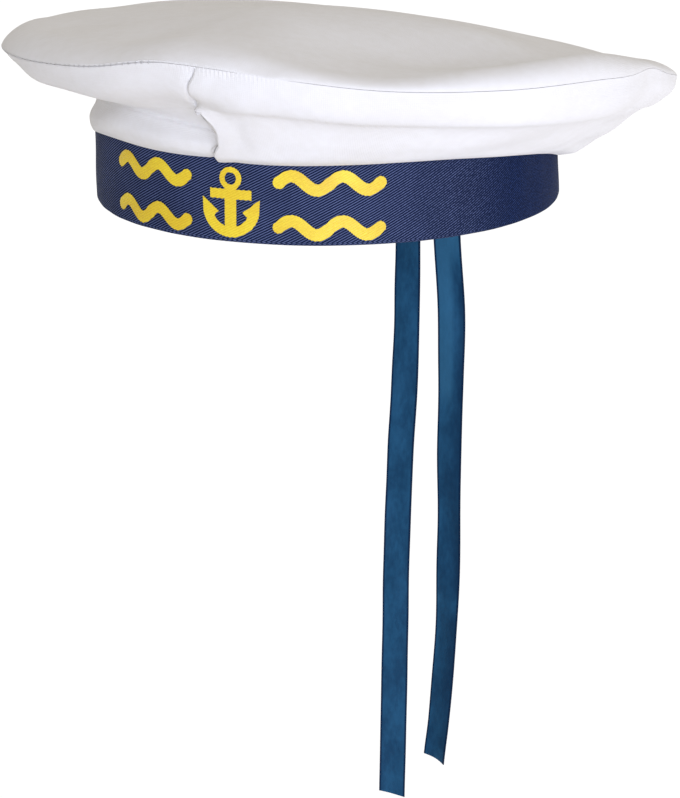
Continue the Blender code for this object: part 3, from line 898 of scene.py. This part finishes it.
    @staticmethod
    def side_normal(r: np.ndarray, z: np.ndarray) -> tuple[np.ndarray, np.ndarray]:
        """Outward normals of sections that run from the rim to the hem."""
        run_r, run_z = np.gradient(r, axis=1), np.gradient(z, axis=1)
        size = np.maximum(np.hypot(run_r, run_z), 1e-9)
        return -run_z / size, run_r / size

    @staticmethod
    def round_about(radius: np.ndarray, height: np.ndarray, azimuth: np.ndarray) -> np.ndarray:
        """Points from radii, heights and azimuths."""
        a = np.radians(azimuth)
        return np.stack([radius * np.sin(a), -radius * np.cos(a), height + 0 * a], axis=-1)

    def build_top(self) -> bpy.types.Object:
        """Model the top cloth."""
        azimuth = np.linspace(-180, 180, self.top_columns + 1)
        shares = np.concatenate(
            [np.linspace(0, 0.5, 14), np.linspace(0.5, 0.87, 24)[1:], np.linspace(0.87, 1, 15)[1:]]
        )
        radius, height = self.top_points(azimuth, shares)
        grid = azimuth[:, None] + 0 * radius
        a = np.radians(grid)
        x, y = radius * np.sin(a), -radius * np.cos(a)
        height = height + self.top_folds(x, y, grid, shares[None, :])
        height[:, -1] += self.seam_gap(azimuth)
        turned_r = radius[:, -1:] - self.seam_turn * np.array([[0.35, 1.3]])
        turned_z = height[:, -1:] + self.seam_turn * np.array([[-0.05, 0.05]])
        radius = np.hstack([radius, turned_r])
        height = np.hstack([height, turned_z])
        grid = azimuth[:, None] + 0 * radius
        places = self.round_about(radius, height, grid)
        run = np.hypot(np.diff(radius, axis=1), np.diff(height, axis=1))
        run = np.concatenate([np.zeros((len(azimuth), 1)), np.cumsum(run, axis=1)], axis=1)
        a = np.radians(grid)
        uv = np.stack([run * np.sin(a), -run * np.cos(a)], axis=-1)
        top = cloth_grid("top_cloth", places, uv, True)
        return top

    def top_folds(
        self, x: np.ndarray, y: np.ndarray, azimuth: np.ndarray, share: np.ndarray
    ) -> np.ndarray:
        """Soft folds of the top cloth, as heights."""
        fade = 1 - ease((share - 0.86) / 0.14)
        folds = 0.00035 * ripples(x / 0.075, y / 0.055, 11) * fade
        knob = bump(x - 0.020, 0.026) * bump(y + 0.088, 0.030)
        folds = folds + 0.0036 * knob * (1 - ease((share - 0.93) / 0.07))
        dimple = bump(turn_gap(azimuth, 14.5), 3.2) * bump(share - 0.955, 0.04)
        folds = folds - 0.0010 * dimple
        hill = bump(x - 0.016, 0.048) * bump(y + 0.042, 0.034)
        return folds + 0.0055 * hill

    def build_side(self, name: str, start: float) -> bpy.types.Object:
        """Model half of the side cloth from one upright seam to the other.

        Args:
            name: the piece's name.
            start: the azimuth where it starts, 0 or 180.

        Returns:
            The piece, without its wall.
        """
        edge = np.array([0.0, 0.07, 0.16, 0.28, 0.45, 0.7, 1.0, 1.35, 1.75, 2.2])
        low, high = start, start + 180.0
        if start == 180:
            high += self.under
        middle = np.linspace(low + 2.7, high - 2.7, self.side_columns)
        azimuth = np.concatenate([low + edge, middle, (high - edge)[::-1]])
        steps = np.concatenate(
            [
                np.linspace(0, 1, 10),
                np.linspace(1, 2, 12)[1:],
                np.linspace(2, 2.15, 4)[1:],
                np.linspace(2.15, 2.4, 17)[1:],
                np.linspace(2.4, 2.9, 9)[1:],
                [2.94, 2.97, 3.0, 3.03, 3.07, 3.12, 3.17, 3.22],
                np.linspace(3.22, 4, 11)[1:],
                np.linspace(4, 5, 10)[1:],
                np.linspace(5, 6, 4)[1:],
            ]
        )
        strays = smooth(np.array(self.stray_steps), np.array(self.stray), steps)
        strays = strays + 0.16 * np.sin(steps * 4.9 + 0.6) * ease(steps)
        fade = bump(turn_gap(azimuth, 0.0), self.stray_spread)
        place = azimuth[:, None] + strays[None, :] * fade[:, None]
        near = turn_gap(azimuth, 0.0)
        if start == 0:
            own = np.where(np.abs(near) < 90, 1.0, 0.0)[:, None]
            folds = np.where(own > 0, np.maximum(place, self.fold_start), place)
        else:
            own = ease((near + 1.6) / 1.6)[:, None] * (np.abs(near) < 90)[:, None]
            folds = place + own * (self.fold_start - turn_gap(place, 0.0))
        index = np.clip(np.arange(len(steps))[:, None] + [-1, 0, 1], 0, len(steps) - 1)
        trios = np.broadcast_to(steps[index], (*place.shape, 3)).reshape(-1, 3)
        radius, height, run = (
            values[:, 1].reshape(place.shape)
            for values in self.side_points(place.ravel(), trios, folds.ravel())
        )
        height[:, 0] -= self.seam_gap(place[:, 0])
        normal_r, normal_z = self.side_normal(radius, height)
        swell = self.side_folds(place, run, steps)
        swell = swell + self.seam_swell(azimuth, start == 0)[:, None] * ease(steps / 0.1)
        radius = radius + normal_r * swell
        height = height + normal_z * swell
        if start == 180:
            height[:, -6:] += 0.0009 * bump(turn_gap(azimuth, 0.0), 9.0)[:, None]
        turned_r = radius[:, :1] - self.seam_turn * np.array([[1.3, 0.35]])
        turned_z = height[:, :1] + self.seam_turn * np.array([[-0.05, 0.05]])
        radius = np.hstack([turned_r, radius])
        height = np.hstack([turned_z, height])
        run = np.hstack([-self.seam_turn * np.array([[1.3, 0.35]]) + 0 * turned_r, run])
        place = np.hstack([place[:, :1], place[:, :1], place])
        places = self.round_about(radius, height, place)
        uv = np.stack([np.radians(place) * 0.118, -run], axis=-1)
        return cloth_grid(name, places, uv, False)

    def seam_swell(self, azimuth: np.ndarray, over: bool) -> np.ndarray:
        """Lift of the lapped front seam and the dip of the plain back seam, outwards."""
        near = np.abs(turn_gap(azimuth, 0.0)) * 0.0021
        back = np.abs(turn_gap(azimuth, 180.0)) * 0.0021
        dip = -0.0005 * (1 - ease(back / 0.0012))
        if over:
            return dip + self.lap * (1 - ease((near - 0.002) / 0.007)) - 0.0004 * (1 - ease(near / 0.0006))
        past = turn_gap(azimuth, 0.0) * 0.0021
        sink = 0.00035 * ease((past + 0.004) / 0.003)
        return dip - sink - 0.0009 * ease((past + 0.0008) / 0.0005)

    def side_folds(self, azimuth: np.ndarray, run: np.ndarray, steps: np.ndarray) -> np.ndarray:
        """Soft folds of the side cloth, as distances outwards."""
        fade = ease(steps / 0.6) * (1 - ease((steps - 4.6) / 1.0))
        arc = np.radians(azimuth) * 0.118
        return 0.00030 * ripples(arc / 0.045, run / 0.018, 23) * fade[None, :]

    def build_stitches(self) -> bpy.types.Object:
        """Sew the short threads that close the rim seam on the wearer's right."""
        deselect_all()
        bpy.ops.mesh.primitive_uv_sphere_add(segments=6, ring_count=4, radius=1.0)
        thread = bpy.context.object
        thread.name = "rim_stitches"
        bpy.ops.object.mode_set(mode="EDIT")
        bpy.ops.mesh.select_all(action="SELECT")
        bpy.ops.transform.resize(value=(0.0005, 0.0002, 0.0005))
        bpy.ops.object.mode_set(mode="OBJECT")
        smooth_faces(thread, 80.0)
        azimuth = np.arange(-178.5, -2.0, math.degrees(self.stitch_pitch / self.radius))
        rng = np.random.default_rng(17)
        azimuth = azimuth + rng.uniform(-0.14, 0.14, len(azimuth))
        leans = rng.uniform(0.05, 0.35, len(azimuth))
        rim_r, rim_z = self.rim(azimuth)
        copies = [thread] + [thread.copy() for _ in azimuth[1:]]
        for copy in copies[1:]:
            copy.data = thread.data.copy()
            bpy.context.scene.collection.objects.link(copy)
        for copy, angle, lean, r, z in zip(copies, azimuth, leans, rim_r, rim_z):
            around = Matrix.Rotation(math.radians(angle), 4, "Z")
            place = Matrix.Translation((0.0, 0.00015 - r, z)) @ Matrix.Rotation(lean, 4, "Y")
            copy.data.transform(around @ place)
            copy.select_set(True)
        bpy.context.view_layer.objects.active = thread
        bpy.ops.object.join()
        thread.data.uv_layers[0].name = "Cloth"
        return thread

    def finish_cloth(self, obj: bpy.types.Object, near: float) -> None:
        """Give a cloth its wall and mark how near each vertex is to the rim seam."""
        give_wall(obj, self.cloth, -1.0)
        mesh = obj.data
        coords = np.empty(len(mesh.vertices) * 3)
        mesh.vertices.foreach_get("co", coords)
        coords = coords.reshape(-1, 3)
        azimuth = np.degrees(np.arctan2(coords[:, 0], -coords[:, 1]))
        rim_r, rim_z = self.rim(azimuth)
        radius = np.hypot(coords[:, 0], coords[:, 1])
        gap = np.hypot(radius - rim_r, coords[:, 2] - rim_z)
        below = ease((rim_z + 0.0005 - coords[:, 2]) / 0.001)
        place = bump(turn_gap(azimuth, 9.0), 9.0) + 0.8 * bump(turn_gap(azimuth, 92.0), 9.0)
        add_attribute(obj, "pucker", (1 - ease(gap / near)) * place * below)
        smooth_faces(obj)

    def dress(self, finish: WhiteCloth) -> list[bpy.types.Object]:
        """Build the crown's cloths and give them their finish."""
        top = self.build_top()
        self.finish_cloth(top, 0.006)
        dress(top, finish.material(Piece.TOP), "white_cloth", "top_panel")
        sides = []
        for name, start, node in (
            ("side_cloth_left", 0.0, "side_panel_left"),
            ("side_cloth_right", 180.0, "side_panel_right"),
        ):
            side = self.build_side(name, start)
            self.finish_cloth(side, 0.004)
            sides.append((side, node))
        material = finish.material(Piece.SIDE)
        for side, node in sides:
            dress(side, material, "white_cloth", node)
        threads = self.build_stitches()
        dress(threads, finish.material(Piece.THREAD), "white_cloth")
        return [top, *(side for side, _ in sides), threads]


# The tails


class Hang(NamedTuple):
    """How a tail hangs: down is a share of its drop, sway of its width, turn in degrees."""

    down: float
    sway: float
    turn: float


class Side(Enum):
    """The wearer's side that a tail hangs on."""

    RIGHT = "right"
    LEFT = "left"


@dataclass
class Tail:
    """A satin tail sewn inside the band at the back."""

    band: Band
    side: Side
    seat: float
    drop: float
    hang: tuple[Hang, ...]
    slant: float
    curl: float
    # How strong the painted highlight and painted shade are on this tail; 0 leaves none.
    painted_light_strength: float
    width: float = 0.0125
    cloth: float = 0.0004
    tuck: float = 0.024
    gap: float = 0.0007
    rows: int = 260
    columns: int = 12

    def length(self) -> float:
        """The ribbon's length from its sewn top to its cut end."""
        return self.drop + self.tuck

    def build(self) -> bpy.types.Object:
        """Model the ribbon along its hanging line."""
        down = np.linspace(-self.tuck, self.drop, self.rows + 1)
        across = np.linspace(-0.5, 0.5, self.columns + 1)
        inner_x = self.band.width / 2 - self.band.wall - self.gap
        inner_y = self.band.length / 2 - self.band.wall - self.gap
        t = math.asin(self.seat / inner_x)
        wall_y = inner_y * math.cos(t)
        wall_turn = math.degrees(math.atan2(-inner_y * math.sin(t), inner_x * math.cos(t)))
        knots = [-self.tuck, 0.0] + [self.drop * h.down for h in self.hang]
        sways = [0.0, 0.0] + [self.width * h.sway for h in self.hang]
        turns = [wall_turn, wall_turn] + [h.turn for h in self.hang]
        sway = smooth(np.array(knots), np.array(sways), down)
        turn = np.radians(smooth(np.array(knots), np.array(turns), down))
        side, run = np.meshgrid(across, down, indexing="ij")
        free = ease(run / 0.03)
        end = ease((run - self.drop + 0.02) / 0.02)
        step = side * self.width
        cup = self.curl * end * ((side * 2) ** 2) * 0.0012
        wave = 0.00035 * ripples(step / 0.02, run / 0.045, 31 + len(self.side.value)) * free
        x = self.seat + sway[None, :] + step * np.cos(turn)[None, :]
        y = wall_y + step * np.sin(turn)[None, :] + wave - cup
        x = x - wave * np.sin(turn)[None, :]
        z = -run + end * self.slant * side
        places = np.stack([x, y, z], axis=-1)
        uv = np.stack([step, -run], axis=-1)
        ribbon = cloth_grid(f"satin_tail_{self.side.value}", places, uv, False)
        # Store the painted light, highlight and shade, for the satin's colour to follow.
        add_attribute(ribbon, "painted_gleam", self.painted_gleam(side * 2, run / self.drop).T)
        give_wall(ribbon, self.cloth, 0.0)
        smooth_faces(ribbon)
        return ribbon

    def painted_gleam(self, across: np.ndarray, down: np.ndarray) -> np.ndarray:
        """Painted light on the satin: a painted highlight above, painted shade on its far side, and a painted
        light crease and end.

        Args:
            across: places across the ribbon, from -1 to 1.
            down: shares of the ribbon's drop.

        Returns:
            Values from -1, painted shade, to 1, painted highlight.
        """
        upper = 1 - ease((down - 0.36) / 0.07)
        shade = ease((down - 0.13) / 0.08) * ease((across + 0.1) / 0.9)
        crease = bump(down - 0.722 - 0.006 * across, 0.013) * (0.15 + 0.85 * across**2)
        end = ease((down - 0.972) / 0.022) * ease((across + 0.6) / 0.8)
        light = 0.55 * upper - 0.30 * (1 - upper) * ease((across + 1.1) / 0.7)
        light = light * (1 - shade) - 0.52 * shade + 1.0 * crease + 0.7 * end
        return self.painted_light_strength * light

    def dress(self, material: bpy.types.Material) -> bpy.types.Object:
        """Build the ribbon and give it its satin."""
        ribbon = self.build()
        dress(ribbon, material, "blue_satin", f"tail_{self.side.value}")
        self.length()
        return ribbon


# The print


@dataclass
class Print:
    """A plain yellow ornament on the band's front: an anchor between pairs of waves."""

    band: Band
    middle: float = 0.01411
    height: float = 0.0245
    length: float = 0.108
    shift: float = 0.006
    stroke: float = 0.0042
    anchor_width: float = 0.021
    wave_swing: float = 0.0024
    wave_count: int = 2
    wave_clear: float = 0.0045
    film: float = 0.00016
    lift: float = 0.00022
    bite: float = 0.00010

    def arc(
        self, centre: tuple[float, float], radius: float, start: float, end: float
    ) -> list[tuple[float, float]]:
        """Points on an arc, with angles in degrees from +X."""
        angles = np.radians(np.linspace(start, end, max(4, int(abs(end - start) / 6))))
        return [(centre[0] + radius * math.cos(a), centre[1] + radius * math.sin(a)) for a in angles]

    def anchor(self) -> list[list[tuple[float, float]]]:
        """The anchor's outline and its ring's eye."""
        half = self.height / 2
        stem = self.stroke / 2
        ring = self.stroke * 0.95
        ring_middle = (0.0, half - ring)
        bowl = self.anchor_width / 2
        bowl_middle = (0.0, bowl - half)
        stock_y = ring_middle[1] - ring - self.stroke * 0.35
        stock_x = self.anchor_width * 0.36
        stock = self.stroke * 0.4
        leave = math.degrees(math.asin(stem / ring))
        inside = bowl - self.stroke * 0.85
        enter = math.degrees(math.acos(stem / inside))
        side = self.arc(ring_middle, ring, 90, leave - 90)
        side += [(stem, stock_y + stock), (stock_x, stock_y + stock)]
        side += [(stock_x, stock_y - stock), (stem, stock_y - stock)]
        side += self.arc(bowl_middle, inside, -enter, -28)
        tip = bowl_middle[1] + self.stroke * 0.75
        side += [(bowl - self.stroke * 1.45, bowl_middle[1] - self.stroke * 0.4), (bowl, tip)]
        side += self.arc(bowl_middle, bowl, -12, -90)
        outline = side + [(-x, y) for x, y in side[-2:0:-1]]
        return [outline, self.arc(ring_middle, ring - self.stroke * 0.45, 0, 352)]

    def wave(self, start: float, end: float, height: float) -> list[list[tuple[float, float]]]:
        """One wave line with round ends, between two places along the print."""
        radius = self.stroke / 2
        length = end - start - self.stroke
        rate = 2 * math.pi * self.wave_count / length
        upper, lower = [], []
        for x in np.linspace(start + radius, end - radius, 48 * self.wave_count):
            angle = rate * (x - start - radius)
            y = height + self.wave_swing * math.sin(angle)
            slope = math.atan(self.wave_swing * rate * math.cos(angle))
            side_x, side_y = radius * math.sin(slope), radius * math.cos(slope)
            upper.append((x - side_x, y + side_y))
            lower.append((x + side_x, y - side_y))
        tilt = math.degrees(math.atan(self.wave_swing * rate))
        nose = self.arc((end - radius, height), radius, 90 + tilt, tilt - 90)[1:-1]
        tail = self.arc((start + radius, height), radius, tilt - 90, tilt - 270)[1:-1]
        return [upper + nose + lower[::-1] + tail]

    def roughened(self, outline: list[tuple[float, float]]) -> np.ndarray:
        """Walk an outline in even small steps and let the twill's lines bite into it."""
        points = np.array(outline + outline[:1])
        run = np.concatenate([[0.0], np.cumsum(np.hypot(*np.diff(points, axis=0).T))])
        count = max(24, int(run[-1] / 0.00026))
        at = np.linspace(0, run[-1], count, endpoint=False)
        x, y = np.interp(at, run, points[:, 0]), np.interp(at, run, points[:, 1])
        run_x = np.roll(x, -1) - np.roll(x, 1)
        run_y = np.roll(y, -1) - np.roll(y, 1)
        size = np.maximum(np.hypot(run_x, run_y), 1e-9)
        phase = ((x + self.shift) * TWILL_ACROSS[0] + (y + self.middle) * TWILL_ACROSS[1]) / TWILL_PITCH
        bite = self.bite * np.sin(2 * math.pi * phase)
        return np.column_stack([x + bite * run_y / size, y - bite * run_x / size])

    def build(self, name: str, outlines: list[list[tuple[float, float]]]) -> bpy.types.Object:
        """Fill outlines, cut them into strips and bend the film round the band."""
        flat = bpy.data.curves.new(name, "CURVE")
        flat.dimensions = "2D"
        flat.fill_mode = "BOTH"
        flat.extrude = self.film / 2
        for outline in outlines:
            rough = self.roughened(outline)
            spline = flat.splines.new("POLY")
            spline.points.add(len(rough) - 1)
            spline.use_cyclic_u = True
            for point, (x, y) in zip(spline.points, rough):
                point.co = (x, y, 0, 1)
        holder = bpy.data.objects.new(name, flat)
        bpy.context.scene.collection.objects.link(holder)
        pick(holder)
        bpy.ops.object.convert(target="MESH")
        obj = bpy.context.object
        obj.name = name
        obj.data.name = name
        bm = bmesh.new()
        bm.from_mesh(obj.data)
        bmesh.ops.remove_doubles(bm, verts=bm.verts, dist=0.000005)
        low = min(v.co.x for v in bm.verts)
        high = max(v.co.x for v in bm.verts)
        strips = max(2, round((high - low) / 0.001))
        for i in range(1, strips):
            cut = low + (high - low) * i / strips
            everything = bm.verts[:] + bm.edges[:] + bm.faces[:]
            bmesh.ops.bisect_plane(
                bm, geom=everything, plane_co=(cut, 0, 0), plane_no=(1, 0, 0), dist=0.000005
            )
        bmesh.ops.recalc_face_normals(bm, faces=bm.faces)
        bm.to_mesh(obj.data)
        bm.free()
        self.bend(obj)
        return obj

    def bend(self, obj: bpy.types.Object) -> None:
        """Bend a flat film round the band and give it the band's cloth coordinates."""
        mesh = obj.data
        coords = np.empty(len(mesh.vertices) * 3)
        mesh.vertices.foreach_get("co", coords)
        coords = coords.reshape(-1, 3)
        arc = coords[:, 0] + self.shift
        height = coords[:, 1] + self.middle
        places = self.band.place(arc, height, self.lift + self.film / 2 + coords[:, 2])
        mesh.vertices.foreach_set("co", places.ravel())
        corners = np.empty(len(mesh.loops), int)
        mesh.loops.foreach_get("vertex_index", corners)
        layer = mesh.uv_layers.active or mesh.uv_layers.new(name="Cloth")
        layer.name = "Cloth"
        uv = np.column_stack([arc, height])
        layer.uv.foreach_set("vector", uv[corners].ravel())
        mesh.update()

    def dress(self, finish: YellowPrint) -> list[bpy.types.Object]:
        """Build the ornament's pieces and give them their film."""
        end = self.length / 2
        start = self.anchor_width / 2 + self.wave_clear
        height = (self.height - self.stroke) / 2 - self.wave_swing
        shapes = [("anchor", self.anchor())]
        for side, low, high in (("right", -end, -start), ("left", start, end)):
            shapes.append((f"wave_{side}_upper", self.wave(low, high, height)))
            shapes.append((f"wave_{side}_lower", self.wave(low, high, -height)))
        material = finish.material()
        pieces = []
        for name, outlines in shapes:
            film = self.build(f"film_{name}", outlines)
            smooth_faces(film, 40.0)
            dress(film, material, "yellow_print", f"print_{name}")
            pieces.append(film)
        return pieces


# The studio


@dataclass
class Studio:
    """A pale floor, soft lights and the camera."""

    floor_height: float = -0.62
    floor_size: float = 30.0

    def build_floor(self) -> bpy.types.Object:
        """Lay the pale floor, which glows: the camera sees it pale, and its glow lights the cap, dim and
        brownish towards the wearer's right in front of the cap and white behind it.
        """
        deselect_all()
        bpy.ops.mesh.primitive_plane_add(size=self.floor_size, location=(0, 0, self.floor_height))
        floor = bpy.context.object
        floor.name = "studio_floor"
        material, kit, shader = start_material("pale floor")
        place = kit.node("ShaderNodeTexCoord").outputs["Object"]
        patches = kit.noise(place, 0.6, 2.0)
        tone = kit.mix(patches, (0.17, 0.17, 0.172, 1.0), (0.15, 0.15, 0.152, 1.0))
        parts = kit.node("ShaderNodeSeparateXYZ")
        kit.link(place, parts.inputs[0])
        # The floor's glow that lights the cap is dim and brownish towards the wearer's right near the cap and
        # white behind it; the camera sees a paler glow.
        far = kit.ramp(parts.outputs["Y"], 0.2, 0.52)
        lit = kit.ramp(parts.outputs["X"], -0.7, 0.7)
        near = kit.mix(lit, (0.30, 0.275, 0.22, 1.0), (0.87, 0.85, 0.90, 1.0))
        cast = kit.mix(far, near, (1.0, 1.0, 1.0, 1.0))
        shown = kit.mix(far, (0.80, 0.80, 0.81, 1.0), (1.06, 1.06, 1.06, 1.0))
        seen = kit.node("ShaderNodeLightPath").outputs["Is Camera Ray"]
        kit.link(kit.mix(seen, cast, shown), shader.inputs["Emission Color"])
        kit.link(kit.mix(seen, tone, (0.02, 0.02, 0.02, 1.0)), shader.inputs["Base Color"])
        shader.inputs["Roughness"].default_value = 0.9
        shader.inputs["Emission Strength"].default_value = 0.96
        floor.data.materials.append(material)
        return floor

    def add_light(
        self, name: str, place: tuple, target: tuple, size: float, power: float, color: tuple
    ) -> None:
        """Add one soft square light that looks at a target."""
        data = bpy.data.lights.new(name, "AREA")
        data.shape = "SQUARE"
        data.size = size
        data.energy = power
        data.color = color
        lamp = bpy.data.objects.new(name, data)
        bpy.context.scene.collection.objects.link(lamp)
        lamp.location = place
        aim = Vector(target) - Vector(place)
        lamp.rotation_euler = aim.to_track_quat("-Z", "Y").to_euler()

    def add_lights(self) -> None:
        """Add the soft key and the pale surroundings."""
        self.add_light(
            "key", (1.20, -2.045, 0.237), (0.02, 0.0, 0.03), 1.3, 39.5, (0.78, 0.83, 1.0)
        )
        scene = bpy.context.scene
        world = bpy.data.worlds.new("surroundings")
        scene.world = world
        world.use_nodes = True
        kit = NodeKit(world.node_tree)
        toward = kit.node("ShaderNodeTexCoord").outputs["Generated"]
        parts = kit.node("ShaderNodeSeparateXYZ")
        kit.link(toward, parts.inputs[0])
        behind = kit.math("MULTIPLY_ADD", parts.outputs["Y"], 0.222, 0.42)
        above = kit.math("MULTIPLY_ADD", parts.outputs["Z"], 0.198, behind)
        tint = kit.mix(above, (0.0, 0.0, 0.0, 1.0), (1.058, 1.006, 0.935, 1.0))
        ground = world.node_tree.nodes["Background"]
        seen = kit.node("ShaderNodeLightPath").outputs["Is Camera Ray"]
        kit.link(kit.mix(seen, tint, (0.74, 0.74, 0.75, 1.0)), ground.inputs["Color"])
        ground.inputs["Strength"].default_value = 1.0
        scene.view_settings.view_transform = "Standard"
        scene.view_settings.look = "None"

    def add_camera(self) -> None:
        """Place the camera at the photograph's angle."""
        pan, tilt, roll = math.radians(23.591), math.radians(18.270), math.radians(0.650)
        ahead = Vector(
            (-math.sin(pan) * math.cos(tilt), math.cos(pan) * math.cos(tilt), -math.sin(tilt))
        )
        right = Vector((math.cos(pan), math.sin(pan), 0.0))
        up = right.cross(ahead)
        level, head = (
            right * math.cos(roll) + up * math.sin(roll),
            up * math.cos(roll) - right * math.sin(roll),
        )
        turn = Matrix((level, head, -ahead)).transposed().to_4x4()
        data = bpy.data.cameras.new("camera")
        data.lens = 86.58
        data.sensor_width = 36.0
        data.sensor_fit = "AUTO"
        data.clip_start = 0.01
        camera = bpy.data.objects.new("camera", data)
        bpy.context.scene.collection.objects.link(camera)
        camera.matrix_world = Matrix.Translation((0.29837, -0.67015, 0.15613)) @ turn
        bpy.context.scene.camera = camera


def main() -> None:
    """Build and dress the cap, piece by piece."""
    logging.basicConfig(level=logging.INFO, format="%(message)s")
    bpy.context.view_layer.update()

    studio = Studio()
    studio.add_camera()
    studio.build_floor()
    studio.add_lights()
    LOG.info("studio: camera, floor and lights")

    satin = BlueSatin().material()
    band = Band()
    tails = (
        Tail(
            band,
            Side.RIGHT,
            seat=-0.0045,
            drop=0.3153,
            hang=(
                Hang(0.14, 0.09, -6),
                Hang(0.29, 0.11, -2),
                Hang(0.43, 0.0, 2),
                Hang(0.6, -0.08, 7),
                Hang(0.8, -0.06, 11),
                Hang(1.0, -0.06, 13),
            ),
            slant=-0.0022,
            curl=0.0,
            painted_light_strength=0.0,
        ),
        Tail(
            band,
            Side.LEFT,
            seat=0.0130,
            drop=0.2903,
            hang=(
                Hang(0.13, 0.18, -1),
                Hang(0.25, 0.43, 2),
                Hang(0.34, 0.47, -3),
                Hang(0.45, 0.49, -11),
                Hang(0.62, 0.58, -14),
                Hang(0.8, 0.56, -16),
                Hang(1.0, 0.3, -20),
            ),
            slant=-0.0015,
            curl=1.0,
            painted_light_strength=1.0,
        ),
    )
    for tail in tails:
        LOG.info("tail: %s", tail.dress(satin).name)

    LOG.info("band: %s", band.dress(NavyTwill()).name)
    for film in Print(band).dress(YellowPrint()):
        LOG.info("print: %s", film.name)
    for cloth in Crown(band).dress(WhiteCloth()):
        LOG.info("crown: %s", cloth.name)

    deselect_all()


if __name__ == "__main__":
    main()
